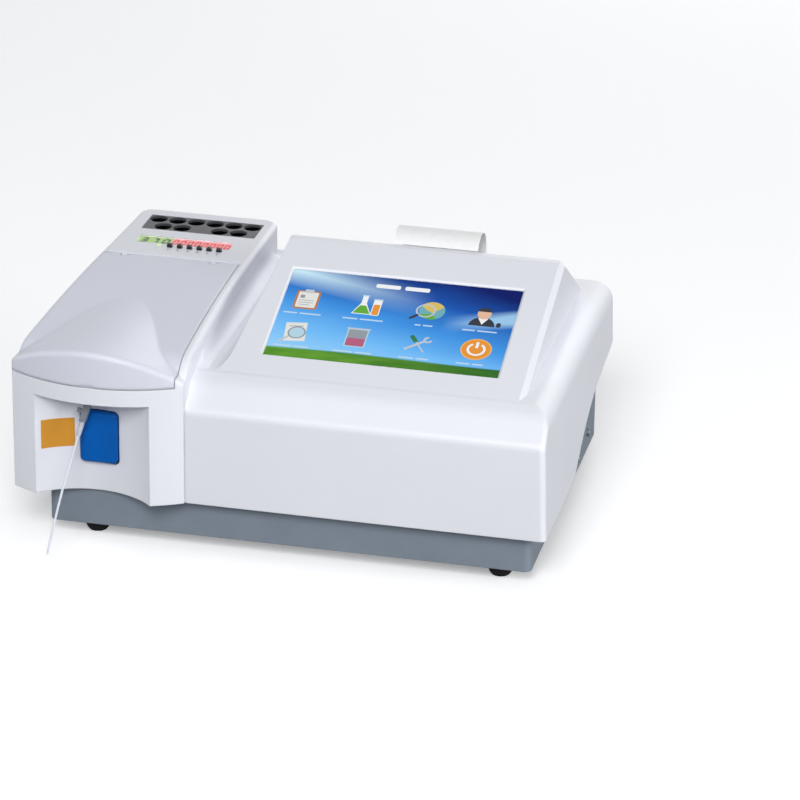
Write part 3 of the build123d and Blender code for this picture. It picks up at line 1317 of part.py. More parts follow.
# Capillary from the collar up to the flow cell block
sample_route = ((sipper_top[0], sipper_top[1], scoop_top_z - 1.2),
                (sipper_top[0], sipper_top[1], sample_fitting_z - 1.5),
                (sample_fitting_x, pump_y - 20, sample_fitting_z + 1),
                (sample_fitting_x, cell_front_y - fitting_length, sample_fitting_z))
with BuildPart() as sample_tubing:
    add(tube_along(sample_route, tube_radius))
sample_tubing.part.label = "sample_tubing"
export_step(sample_tubing.part, "parts/sample_tubing.step")

# Plain amber label on the wall of the recess
with BuildPart() as amber_label:
    with BuildSketch(Plane.XY.offset(label_low_z)):
        with Locations((scoop_x, scoop_centre_y)):
            Circle(scoop_radius - 0.02)
            Circle(scoop_radius - 0.02 - label_thickness, mode=Mode.SUBTRACT)
    extrude(amount=label_high_z - label_low_z)
    block(label_left_x, label_right_x, y_nose - 5, scoop_back_y + 5, label_low_z - 1,
          label_high_z + 1, Mode.INTERSECT)
amber_label.part.label = "amber_label"
export_step(amber_label.part, "parts/amber_label.step")

# Printer: frame in the bay, head, platen in the door, door, roll, paper
frame_half = door_width / 2 + 0.1
frame_rim_down = door_thickness - door_proud + part_gap
barrel_down = 0.8
barrel_radius = 1.6
ear_outer_x = frame_half - 0.3
ear_inner_x = ear_outer_x - 2.0


def printer_rod(x, along, down, radius, length, mode=Mode.ADD):
    """A rod along X in the printer, from x, inside the part being built."""
    start = printer_plane.from_local_coords(Vector(x, along, -down))
    rod(tuple(start), RIGHT, radius, length, mode)


def printer_block(x0, x1, along0, along1, down0, down1, mode=Mode.ADD):
    """A block in the printer's own directions, inside the part being built."""
    with BuildSketch(printer_plane.offset(-down1)) as outline:
        with Locations(((x0 + x1) / 2, (along0 + along1) / 2)):
            Rectangle(x1 - x0, along1 - along0)
    extrude(outline.sketch, amount=down1 - down0, dir=slope_normal, mode=mode)


with BuildPart() as printer_frame:
    printer_block(-frame_half, frame_half, bay_start + part_gap, bay_end - part_gap,
                  frame_rim_down, bay_depth)
    printer_block(-frame_half + bay_wall, frame_half - bay_wall, bay_start + part_gap + bay_wall,
                  bay_end - part_gap - bay_wall, frame_rim_down - 1, bay_depth - bay_wall,
                  Mode.SUBTRACT)
    for left_x in (-ear_outer_x, ear_inner_x):
        width = ear_outer_x - ear_inner_x
        printer_rod(left_x, door_hinge_along, barrel_down, barrel_radius - 0.1, width)
        printer_block(left_x, left_x + width, door_hinge_along - barrel_radius + 0.1,
                      door_hinge_along + barrel_radius - 0.1, barrel_down, frame_rim_down + 0.5)
    printer_rod(-frame_half - 1, door_hinge_along, barrel_down, pin_radius + 0.01,
                2 * frame_half + 2, Mode.SUBTRACT)
    # lower edge where the paper passes
    printer_block(paper_offset_x - paper_width / 2 - 2, paper_offset_x + paper_width / 2 + 2,
                  bay_start, bay_start + part_gap + bay_wall + 0.1, frame_rim_down - 1,
                  frame_rim_down + 2.2, Mode.SUBTRACT)
    # cradle arms with the spindle that carries the roll
    for left_x in (-paper_width / 2 - 6, paper_width / 2 + 3):
        printer_block(left_x + paper_offset_x, left_x + paper_offset_x + 3, roll_along - 4,
                      roll_along + 4, roll_down - 4, bay_depth - bay_wall + 0.5)
    printer_rod(paper_offset_x - paper_width / 2 - 6, roll_along, roll_down, spindle_radius,
                paper_width + 12)
printer_frame.part.label = "printer_frame"
export_step(printer_frame.part, "parts/printer_frame.step")

head_front = bay_start + part_gap + bay_wall
web_along = platen_along - platen_radius - platen_gap - paper_thickness / 2
head_back = web_along - paper_thickness / 2 - 0.03
with BuildPart() as print_head:
    printer_block(paper_offset_x - 32, paper_offset_x + 32, head_front, head_back,
                  platen_down - 1.5, platen_down + 8)
print_head.part.label = "print_head"
export_step(print_head.part, "parts/print_head.step")

cheek_inner_x = paper_width / 2 + 1.5
with BuildPart() as printer_door:
    printer_block(-door_width / 2, door_width / 2, door_start, door_hinge_along, -door_proud,
                  door_thickness - door_proud)
    long_edges = printer_door.edges().filter_by(Axis.X)
    fillet(long_edges.sort_by(Axis.Z)[-1], 0.6)
    printer_rod(-ear_inner_x + seam_gap, door_hinge_along, barrel_down, barrel_radius,
                2 * (ear_inner_x - seam_gap))
    for side in (-1, 1):
        inner = side * (ear_inner_x - seam_gap)
        outer = side * (door_width / 2 + 1)
        printer_block(min(inner, outer), max(inner, outer),
                      door_hinge_along - barrel_radius - seam_gap, door_hinge_along + 3, -4, 5,
                      Mode.SUBTRACT)
    printer_rod(-door_width / 2, door_hinge_along, barrel_down, pin_radius + running_gap,
                door_width, Mode.SUBTRACT)
    # finger notch at the front edge and cheeks that hold the platen
    printer_block(-9, 9, door_start - 1, door_start + 3.0, -4, 1.2, Mode.SUBTRACT)
    for side in (-1, 1):
        left_x = paper_offset_x + side * (cheek_inner_x + 1.25) - 1.25
        printer_block(left_x, left_x + 2.5, platen_along - 3.2, platen_along + 3.2,
                      door_thickness - door_proud - 0.3, platen_down)
        printer_rod(left_x, platen_along, platen_down, 3.2, 2.5)
    printer_rod(paper_offset_x - cheek_inner_x - 4, platen_along, platen_down,
                platen_shaft_radius + running_gap, 2 * cheek_inner_x + 8, Mode.SUBTRACT)
printer_door.part.label = "printer_door"
export_step(printer_door.part, "parts/printer_door.step")

with BuildPart() as platen_roller:
    printer_rod(paper_offset_x - paper_width / 2 - 1, platen_along, platen_down, platen_radius,
                paper_width + 2)
    printer_rod(paper_offset_x - cheek_inner_x - 2.5, platen_along, platen_down,
                platen_shaft_radius, 2 * cheek_inner_x + 5)
platen_roller.part.label = "platen_roller"
export_step(platen_roller.part, "parts/platen_roller.step")

with BuildPart() as paper_roll:
    printer_rod(paper_offset_x - paper_width / 2, roll_along, roll_down, roll_radius, paper_width)
    printer_rod(paper_offset_x - paper_width / 2 - 1, roll_along, roll_down,
                spindle_radius + running_gap, paper_width + 2, Mode.SUBTRACT)
paper_roll.part.label = "paper_roll"
export_step(paper_roll.part, "parts/paper_roll.step")


def paper_strip(points):
    """A strip of paper along a line of (along, down) points in the printer."""
    side_plane = Plane(origin=tuple(printer_plane.origin), x_dir=(0, cos(radians(rear_slope)),
                                                                  -sin(radians(rear_slope))),
                       z_dir=RIGHT)
    with BuildPart() as strip:
        with BuildSketch(side_plane.offset(paper_offset_x - paper_width / 2)):
            with BuildLine() as middle:
                FilletPolyline(*[(along, -down) for along, down in points], radius=1.2)
            trace(middle.line, line_width=paper_thickness)
        extrude(amount=paper_width)
    return strip.part


web_foot = roll_down + roll_radius + 0.6
slot_along = door_start - 1.0
with BuildPart() as paper_web:
    add(paper_strip(((web_along + 8, web_foot - 6), (web_along, platen_down + 11),
                     (web_along, platen_down - 1.7), (slot_along, frame_rim_down - 0.6),
                     (slot_along - 1.2, -0.35))))
paper_web.part.label = "paper_web"
export_step(paper_web.part, "parts/paper_web.step")

# The printed end curls over the door; the arc is laid out in the vertical plane
curl_start_angle = 180 - degrees(asin((ridge_z + 0.25 - curl_centre_z) / curl_radius))
with BuildPart() as paper_curl:
    with BuildSketch(Plane.YZ.offset(paper_x - paper_width / 2)):
        with BuildLine() as curl_line:
            CenterArc((curl_centre_y, curl_centre_z), curl_radius, curl_start_angle,
                      curl_end_angle - curl_start_angle)
        trace(curl_line.line, line_width=paper_thickness)
    extrude(amount=paper_width)
paper_curl.part.label = "paper_curl"
export_step(paper_curl.part, "parts/paper_curl.step")

# Pins of the lid, paddle and printer door
door_pin_start = printer_plane.from_local_coords(Vector(-ear_outer_x, door_hinge_along,
                                                        -barrel_down))
with BuildPart() as hinge_pins:
    for ear_x in hinge_ear_places:
        rod((ear_x - hinge_pin_length / 2, hinge_y, hinge_z), RIGHT, pin_radius,
            hinge_pin_length)
    rod((paddle_x - ear_start - ear_width, paddle_axis_y, paddle_axis_z), RIGHT, pin_radius,
        2 * (ear_start + ear_width))
    rod(tuple(door_pin_start), RIGHT, pin_radius, 2 * ear_outer_x)
hinge_pins.part.label = "hinge_pins"
export_step(hinge_pins.part, "parts/hinge_pins.step")

# Small screws: feet, sides, rear panel, fan and screen bracket
with BuildPart() as small_screws:
    for place in foot_places:
        screw((*place, foot_recess), UP, small_screw, foot_height + 2 - foot_recess)
    for side_y, side_z in side_screw_places:
        screw((chassis_right_x, side_y, side_z), LEFT, small_screw, sheet + 6)
    for side_x, side_z in panel_screw_places:
        screw((side_x, chassis_rear_y, side_z), FRONT, small_screw, 2 * sheet + 3)
    for step_x in (-fan_hole_spacing / 2, fan_hole_spacing / 2):
        for step_z in (-fan_hole_spacing / 2, fan_hole_spacing / 2):
            screw((fan_x + step_x, chassis_rear_y + guard_thickness, fan_z + step_z), FRONT,
                  small_screw, guard_thickness + sheet + 6)
    for side in (-1, 1):
        for rise in (-1, 1):
            seat = screen_plane.from_local_coords(
                Vector(side * screen_boss_span_x / 2, rise * screen_boss_pitch_y / 2,
                       -lcd_back - bracket_thickness))
            screw(tuple(seat), deck_normal, small_screw, bracket_thickness + 4.5)
small_screws.part.label = "small_screws"
export_step(small_screws.part, "parts/small_screws.step")
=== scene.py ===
from math import cos, pi, radians, sin

import bpy
from mathutils import Matrix, Vector


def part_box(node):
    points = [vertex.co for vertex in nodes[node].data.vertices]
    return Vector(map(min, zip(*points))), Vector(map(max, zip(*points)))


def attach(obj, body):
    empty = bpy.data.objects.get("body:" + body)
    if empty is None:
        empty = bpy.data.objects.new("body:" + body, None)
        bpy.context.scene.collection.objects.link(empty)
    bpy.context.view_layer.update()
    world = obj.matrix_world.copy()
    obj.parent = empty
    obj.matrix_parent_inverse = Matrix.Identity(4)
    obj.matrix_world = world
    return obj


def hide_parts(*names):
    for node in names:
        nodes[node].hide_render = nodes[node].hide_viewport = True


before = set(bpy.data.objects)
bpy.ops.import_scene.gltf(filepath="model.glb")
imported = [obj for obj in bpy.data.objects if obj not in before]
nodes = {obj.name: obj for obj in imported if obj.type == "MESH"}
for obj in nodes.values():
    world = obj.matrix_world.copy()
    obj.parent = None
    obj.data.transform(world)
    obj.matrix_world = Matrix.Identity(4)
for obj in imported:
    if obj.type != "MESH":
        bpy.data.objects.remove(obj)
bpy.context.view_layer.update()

# Looks of a bench blood analyzer. Everything is in metres, in the frame of the solids:
# +Z up, +X to the operator's right, -Y the front.
MM = 0.001
collection = bpy.context.scene.collection


# Colours

def srgb(red, green, blue):
    """A colour given as 0 to 255 screen values, as linear light with alpha 1."""
    def linear(value):
        value /= 255
        return value / 12.92 if value <= 0.04045 else ((value + 0.055) / 1.055) ** 2.4
    return (linear(red), linear(green), linear(blue), 1.0)


COVER_WHITE = srgb(231, 233, 240)
# The lid's white is the cover's white made darker: painted shade for the lid's duller light.
LID_WHITE_PAINTED_SHADE = srgb(217, 220, 231)
CHASSIS_GREY = srgb(126, 137, 149)
PADDLE_BLUE = srgb(0, 92, 178)
AMBER = srgb(212, 146, 42)
UNLIT = srgb(10, 11, 14)
PLATE_GREY = srgb(72, 73, 78)


# Node helpers

class Shader:
    """A material under construction, with its principled shader and object coordinates."""

    def __init__(self, name):
        self.material = bpy.data.materials.new(name)
        self.material.use_nodes = True
        self.tree = self.material.node_tree
        self.principled = self.tree.nodes["Principled BSDF"]
        self.coordinates = self.tree.nodes.new("ShaderNodeTexCoord").outputs["Object"]

    def node(self, kind, **settings):
        """A new node of the tree, with its settings."""
        made = self.tree.nodes.new(kind)
        for key, value in settings.items():
            setattr(made, key, value)
        return made

    def link(self, source, target):
        self.tree.links.new(source, target)

    def set(self, **values):
        """Sets sockets of the principled shader; underscores stand for spaces."""
        for key, value in values.items():
            self.principled.inputs[key.replace("_", " ")].default_value = value

    def stretched(self, stretch):
        """Object coordinates scaled by stretch along each axis."""
        mapping = self.node("ShaderNodeMapping")
        mapping.inputs["Scale"].default_value = stretch
        self.link(self.coordinates, mapping.inputs["Vector"])
        return mapping.outputs["Vector"]

    def noise(self, size, detail=3.0, stretch=(1, 1, 1)):
        """Noise whose features are about size metres across."""
        texture = self.node("ShaderNodeTexNoise")
        texture.inputs["Scale"].default_value = 1 / size
        texture.inputs["Detail"].default_value = detail
        source = self.coordinates if stretch == (1, 1, 1) else self.stretched(stretch)
        self.link(source, texture.inputs["Vector"])
        return texture.outputs["Fac"]

    def ramp(self, factor, stops):
        """A colour ramp over factor, from (position, colour) stops."""
        ramp = self.node("ShaderNodeValToRGB")
        elements = ramp.color_ramp.elements
        while len(elements) < len(stops):
            elements.new(0.5)
        for element, (position, colour) in zip(elements, stops):
            element.position = position
            element.color = colour
        self.link(factor, ramp.inputs["Fac"])
        return ramp.outputs["Color"]

    def vary_colour(self, colour, factor, spread):
        """Base colour that drifts by spread to either side of colour."""
        dark = tuple(c * (1 - spread) for c in colour[:3]) + (1.0,)
        light = tuple(min(1.0, c * (1 + spread)) for c in colour[:3]) + (1.0,)
        self.link(self.ramp(factor, ((0.3, dark), (0.7, light))),
                  self.principled.inputs["Base Color"])

    def vary_roughness(self, factor, low, high):
        """Roughness that follows factor between low and high."""
        spread = self.node("ShaderNodeMapRange")
        spread.inputs["From Min"].default_value = 0.3
        spread.inputs["From Max"].default_value = 0.7
        spread.inputs["To Min"].default_value = low
        spread.inputs["To Max"].default_value = high
        self.link(factor, spread.inputs["Value"])
        self.link(spread.outputs["Result"], self.principled.inputs["Roughness"])

    def relief(self, factor, depth, edge=0.0):
        """Bump of depth metres from factor, over edges rounded by edge metres."""
        bump = self.node("ShaderNodeBump")
        bump.inputs["Distance"].default_value = depth
        bump.inputs["Strength"].default_value = 1.0
        self.link(factor, bump.inputs["Height"])
        if edge:
            rounding = self.node("ShaderNodeBevel", samples=6)
            rounding.inputs["Radius"].default_value = edge
            self.link(rounding.outputs["Normal"], bump.inputs["Normal"])
        self.link(bump.outputs["Normal"], self.principled.inputs["Normal"])


# Materials

def moulded(name, colour, roughness=0.42, grain=0.0011, depth=0.000012, edge=0.0008, spread=0.018):
    """Injection-moulded plastic: a fine spark-eroded grain, faint drift in tone and gloss."""
    shader = Shader(name)
    shader.vary_colour(colour, shader.noise(0.16, 4), spread)
    shader.vary_roughness(shader.noise(0.05, 5), roughness - 0.05, roughness + 0.07)
    shader.relief(shader.noise(grain, 2), depth, edge)
    shader.set(Specular_IOR_Level=0.42, Coat_Weight=0.12, Coat_Roughness=0.35)
    return shader.material


def glossy_plastic(name, colour):
    """Smooth coloured plastic with a soft gloss and rounded edges."""
    shader = Shader(name)
    shader.vary_colour(colour, shader.noise(0.02, 3), 0.06)
    shader.vary_roughness(shader.noise(0.03, 4), 0.24, 0.32)
    shader.relief(shader.noise(0.003, 2), 0.000004, 0.0009)
    shader.set(Specular_IOR_Level=0.14)
    return shader.material


def powder_coat(name, colour):
    """Powder-coated sheet: an orange-peel skin with a low sheen."""
    shader = Shader(name)
    shader.vary_colour(colour, shader.noise(0.02, 6), 0.045)
    shader.vary_roughness(shader.noise(0.012, 4), 0.42, 0.55)
    shader.relief(shader.noise(0.0016, 3), 0.00006, 0.0006)
    shader.set(Specular_IOR_Level=0.4)
    return shader.material


def rubber(name, colour=srgb(24, 24, 26), specular=0.3):
    """Dull rubber; with little specular, a near-black that stands for the painted shade of deep
    holes.
    """
    shader = Shader(name)
    shader.vary_colour(colour, shader.noise(0.006, 5), 0.25)
    shader.vary_roughness(shader.noise(0.004, 4), 0.6, 0.8)
    shader.relief(shader.noise(0.0008, 3), 0.00004, 0.0004)
    shader.set(Specular_IOR_Level=specular)
    return shader.material


def metal(name, colour, roughness=0.28, stretch=(1, 1, 1), size=0.0012, depth=0.00001):
    """Bare metal with fine machining or rolling marks, drawn out along one axis by stretch."""
    shader = Shader(name)
    shader.vary_colour(colour, shader.noise(0.03, 4), 0.05)
    shader.vary_roughness(shader.noise(size * 3, 4, stretch), roughness - 0.08, roughness + 0.1)
    shader.relief(shader.noise(size, 3, stretch), depth, 0.0003)
    shader.set(Metallic=1.0)
    return shader.material


def clear_plastic(name, tint, roughness=0.08, clearness=0.72, index=1.36):
    """Translucent plastic, as see-through as clearness says, faintly uneven."""
    shader = Shader(name)
    shader.vary_colour(tint, shader.noise(0.03, 3), 0.02)
    shader.vary_roughness(shader.noise(0.02, 3), roughness, roughness + 0.06)
    shader.set(Transmission_Weight=clearness, IOR=index)
    return shader.material


def paper_stock(name):
    """Thermal paper: smooth white with a faint fibre."""
    shader = Shader(name)
    shader.vary_colour(srgb(243, 243, 243), shader.noise(0.004, 6), 0.02)
    shader.vary_roughness(shader.noise(0.002, 4), 0.5, 0.65)
    shader.relief(shader.noise(0.0007, 5), 0.000012)
    shader.set(Specular_IOR_Level=0.3)
    return shader.material


def circuit_board(name):
    """Green solder mask with a faint pattern of tracks."""
    shader = Shader(name)
    tracks = shader.node("ShaderNodeTexBrick", offset=0.5)
    tracks.inputs["Scale"].default_value = 260
    tracks.inputs["Mortar Size"].default_value = 0.06
    tracks.inputs["Color1"].default_value = srgb(18, 84, 50)
    tracks.inputs["Color2"].default_value = srgb(24, 98, 58)
    tracks.inputs["Mortar"].default_value = srgb(60, 128, 76)
    shader.link(shader.coordinates, tracks.inputs["Vector"])
    shader.link(tracks.outputs["Color"], shader.principled.inputs["Base Color"])
    shader.vary_roughness(shader.noise(0.006, 3), 0.3, 0.42)
    shader.relief(shader.noise(0.001, 3), 0.00001)
    return shader.material


def lit_picture(name, colour, strength=0.9):
    """A lit part of a display, with the display's fine pixel rows."""
    shader = Shader(name)
    rows = shader.node("ShaderNodeTexWave", bands_direction="Y")
    rows.inputs["Scale"].default_value = 1100
    rows.inputs["Distortion"].default_value = 0.0
    shader.link(shader.coordinates, rows.inputs["Vector"])
    dim = tuple(c * 0.93 for c in colour[:3]) + (1.0,)
    shown = shader.ramp(rows.outputs["Fac"], ((0.2, dim), (0.8, colour)))
    shader.link(shown, shader.principled.inputs["Emission Color"])
    shader.vary_colour(UNLIT, shader.noise(0.01), 0.2)
    shader.set(Emission_Strength=strength, Roughness=0.3, Specular_IOR_Level=0.2)
    return shader.material


# The screen's own plane, from the glass's corners

glass_low, glass_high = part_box("touch_panel")
DECK_TILT = radians(18.9)
SCREEN_SIZE = (154.1 * MM, 85.9 * MM)
GLASS_THICKNESS = 1.8 * MM
screen_right = Vector((1, 0, 0))
screen_up = Vector((0, cos(DECK_TILT), sin(DECK_TILT)))
screen_out = Vector((0, -sin(DECK_TILT), cos(DECK_TILT)))
glass_middle = (Vector(glass_low) + Vector(glass_high)) / 2
screen_origin = glass_middle + screen_out * (GLASS_THICKNESS / 2)


def on_screen(x, y, lift):
    """A place on the screen in millimetres from its middle, lift millimetres above the glass."""
    return screen_origin + (screen_right * x + screen_up * y + screen_out * lift) * MM


def screen_picture(name):
    """The lit desktop: blue sky, paler low down, with a bright streak and a green meadow.

    Heights and widths are shares of the screen, and fade is how fast a band dies away from its
    middle line.
    """
    sky_lean, sky_rise, cloud_share = 0.28, 0.78, 0.16
    streak_slope, streak_top, streak_fade, streak_reach = -0.42, 1.0, 5.4, 1.55
    streak_most = 0.9
    glow_slope, glow_low, glow_fade, glow_start, glow_growth = 0.45, 0.22, 9.0, 0.7, 4.6
    glow_most = 0.78
    meadow_height, meadow_wave, meadow_waves, meadow_edge = 0.108, 0.01, 5.0, 60.0
    shade_right = 0.75
    shader = Shader(name)

    def along(direction, size):
        """0 to 1 across the screen along direction."""
        offset = shader.node("ShaderNodeVectorMath", operation="SUBTRACT")
        offset.inputs[1].default_value = screen_origin - direction * size / 2
        shader.link(shader.coordinates, offset.inputs[0])
        dot = shader.node("ShaderNodeVectorMath", operation="DOT_PRODUCT")
        dot.inputs[1].default_value = direction / size
        shader.link(offset.outputs[0], dot.inputs[0])
        return dot.outputs["Value"]

    def math(operation, first, second=0.0, third=0.0):
        made = shader.node("ShaderNodeMath", operation=operation)
        for socket, value in zip(made.inputs, (first, second, third)):
            if isinstance(value, (int, float)):
                socket.default_value = value
            else:
                shader.link(value, socket)
        return made.outputs[0]

    def mix(factor, first, second):
        made = shader.node("ShaderNodeMix", data_type="RGBA")
        shader.link(factor, made.inputs["Factor"])
        for socket, value in ((made.inputs["A"], first), (made.inputs["B"], second)):
            if isinstance(value, tuple):
                socket.default_value = value
            else:
                shader.link(value, socket)
        return made.outputs["Result"]

    across = along(screen_right, SCREEN_SIZE[0])
    height = along(screen_up, SCREEN_SIZE[1])
    cloud = shader.noise(0.055, 4, (0.5, 1.6, 1.6))
    # the sky darkens upwards and to the right
    depth = math("MULTIPLY_ADD", across, sky_lean, math("MULTIPLY", height, sky_rise))
    depth = math("ADD", depth, math("MULTIPLY", math("SUBTRACT", cloud, 0.5), cloud_share))
    sky = shader.ramp(depth, ((0.06, srgb(150, 208, 248)), (0.3, srgb(112, 186, 246)),
                              (0.52, srgb(62, 146, 226)), (0.76, srgb(22, 82, 172)),
                              (0.98, srgb(4, 24, 100))))
    # a bright streak from the upper left, and a fainter one at the right
    slope = math("MULTIPLY_ADD", across, streak_slope, streak_top)
    distance = math("ABSOLUTE", math("SUBTRACT", height, slope))
    thin = math("SUBTRACT", 1.0, math("MULTIPLY", distance, streak_fade))
    left_part = math("SUBTRACT", 1.0, math("MULTIPLY", across, streak_reach))
    streak = math("MULTIPLY", math("MAXIMUM", thin, 0.0), math("MAXIMUM", left_part, 0.0))
    sky = mix(math("MINIMUM", streak, streak_most), sky, srgb(206, 240, 252))
    rise = math("MULTIPLY_ADD", across, glow_slope, glow_low)
    distance = math("ABSOLUTE", math("SUBTRACT", height, rise))
    near = math("SUBTRACT", 1.0, math("MULTIPLY", distance, glow_fade))
    right_part = math("MULTIPLY", math("SUBTRACT", across, glow_start), glow_growth)
    glow = math("MULTIPLY", math("MAXIMUM", near, 0.0), math("MAXIMUM", right_part, 0.0))
    sky = mix(math("MINIMUM", glow, glow_most), sky, srgb(170, 216, 246))
    # the meadow along the bottom, with a gently rolling edge
    wave = math("SINE", math("MULTIPLY", across, meadow_waves))
    roll = math("MULTIPLY_ADD", wave, meadow_wave, meadow_height)
    meadow_part = math("MULTIPLY", math("SUBTRACT", roll, height), meadow_edge)
    meadow_part = math("MINIMUM", math("MAXIMUM", meadow_part, 0.0), 1.0)
    grass = shader.ramp(shader.noise(0.012, 5, (0.4, 2, 2)),
                        ((0.3, srgb(70, 132, 36)), (0.7, srgb(110, 168, 52))))
    grass = mix(math("MULTIPLY", across, shade_right), grass, srgb(22, 84, 34))
    picture = mix(meadow_part, sky, grass)
    shader.link(picture, shader.principled.inputs["Emission Color"])
    shader.vary_colour(UNLIT, shader.noise(0.02), 0.2)
    shader.set(Emission_Strength=1.0, Roughness=0.2, Specular_IOR_Level=0.03)
    return shader.material


# Piece helpers

def finish_piece(piece, body, smooth=False):
    """Links a piece, sets its faces smooth or flat and hangs it on its body."""
    if piece.name not in collection.objects:
        collection.objects.link(piece)
    if piece.type == "MESH":
        for polygon in piece.data.polygons:
            polygon.use_smooth = smooth
    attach(piece, body)
    return piece


def mesh_piece(name, vertices, faces, materials, face_materials=None):
    """A mesh object; face_materials gives each face its place in materials."""
    mesh = bpy.data.meshes.new(name)
    mesh.from_pydata([tuple(v) for v in vertices], [], faces)
    for material in materials:
        mesh.materials.append(material)
    for polygon, index in zip(mesh.polygons, face_materials or [0] * len(faces)):
        polygon.material_index = index
    mesh.validate()
    mesh.update()
    return bpy.data.objects.new(name, mesh)


def disc(radius, middle=(0, 0), steps=40, squash=1.0):
    """Points round a circle in millimetres."""
    return [(middle[0] + radius * cos(2 * pi * n / steps),
             middle[1] + radius * squash * sin(2 * pi * n / steps)) for n in range(steps)]


def arc(radius, first, last, middle=(0, 0), steps=28):
    """Points along an arc, angles in degrees."""
    return [(middle[0] + radius * cos(radians(first + (last - first) * n / steps)),
             middle[1] + radius * sin(radians(first + (last - first) * n / steps)))
            for n in range(steps + 1)]


def ring_part(outer, inner, first, last, middle=(0, 0)):
    """A part of a flat ring, from one angle to another."""
    return arc(outer, first, last, middle) + arc(inner, last, first, middle)


def box_part(left, right, low, high, corner=0.0):
    """A rectangle with rounded corners."""
    if not corner:
        return [(left, low), (right, low), (right, high), (left, high)]
    inner_left, inner_right = left + corner, right - corner
    inner_low, inner_high = low + corner, high - corner
    middles = ((inner_right, inner_low), (inner_right, inner_high),
               (inner_left, inner_high), (inner_left, inner_low))
    points = []
    for middle, start in zip(middles, (-90, 0, 90, 180)):
        points += arc(corner, start, start + 90, middle, 6)
    return points


def turned(points, degrees_round, middle=(0, 0)):
    """Points turned about middle."""
    c, s = cos(radians(degrees_round)), sin(radians(degrees_round))
    return [(middle[0] + c * (x - middle[0]) - s * (y - middle[1]),
             middle[1] + s * (x - middle[0]) + c * (y - middle[1])) for x, y in points]


PALETTE = {
    "white": srgb(250, 252, 255), "caption": srgb(196, 222, 246),
    "paper": srgb(236, 236, 232), "grey": srgb(150, 158, 168),
    "dark": srgb(38, 42, 52), "wood": srgb(196, 120, 52), "green": srgb(96, 176, 40),
    "leaf": srgb(30, 122, 62), "orange": srgb(240, 152, 36), "amber": srgb(250, 184, 84),
    "glass": srgb(186, 220, 236), "globe": srgb(222, 196, 96), "sea": srgb(110, 178, 190),
    "skin": srgb(236, 190, 160), "pink": srgb(188, 92, 128), "steel": srgb(200, 206, 214),
}
lit = {}


def lit_colour(key):
    """The lit material of a colour of the palette, made once."""
    if key not in lit:
        lit[key] = lit_picture("lit_" + key, PALETTE[key])
    return lit[key]


def icon(name, middle, parts, base_lift=0.02, layer=0.012):
    """A flat picture on the screen: parts are (outline, colour), each lying over the last."""
    vertices, faces, owners, used = [], [], [], []
    for level, (outline, colour) in enumerate(parts):
        if colour not in used:
            used.append(colour)
        start = len(vertices)
        vertices += [on_screen(middle[0] + x, middle[1] + y, base_lift + layer * level)
                     for x, y in outline]
        faces.append(tuple(range(start, len(vertices))))
        owners.append(used.index(colour))
    piece = mesh_piece(name, vertices, faces, [lit_colour(key) for key in used], owners)
    return finish_piece(piece, "housing")


# Screen contents

ICON_COLUMNS = (-61.5, -21.0, 19.5, 56.5)
ICON_ROWS = (14.2, -18.2)
CAPTION_DROP = 14.0
CAPTION_HALVES = ((12.5, 13.5, 6.0, 11.5), (11.5, 13.0, 10.0, 9.0))
CAPTION_SPLITS = (-0.2, 0.1)
CAPTION_GAP, CAPTION_HIGH, CAPTION_CORNER = 0.7, 0.65, 0.6
TITLE_HALF, TITLE_GAP, TITLE_HIGH, TITLE_CORNER = 18.0, 1.5, 1.9, 1.2


def captions():
    """Plain bars where captions stand, and a wider one for the title."""
    icon("screen_title_bar", (-1.5, 34.5), [
        (box_part(-TITLE_HALF, -TITLE_GAP, -TITLE_HIGH, TITLE_HIGH, TITLE_CORNER), "white"),
        (box_part(TITLE_GAP, TITLE_HALF, -TITLE_HIGH, TITLE_HIGH, TITLE_CORNER), "white")])
    for column, x in enumerate(ICON_COLUMNS):
        for row, y in enumerate(ICON_ROWS):
            half = CAPTION_HALVES[row][column]
            split = half * CAPTION_SPLITS[row]
            words = ((-half, split - CAPTION_GAP), (split + CAPTION_GAP, half))
            icon(f"screen_caption_{column}_{row}", (x, y - CAPTION_DROP),
                 [(box_part(first, last, -CAPTION_HIGH, CAPTION_HIGH, CAPTION_CORNER), "caption")
                  for first, last in words])


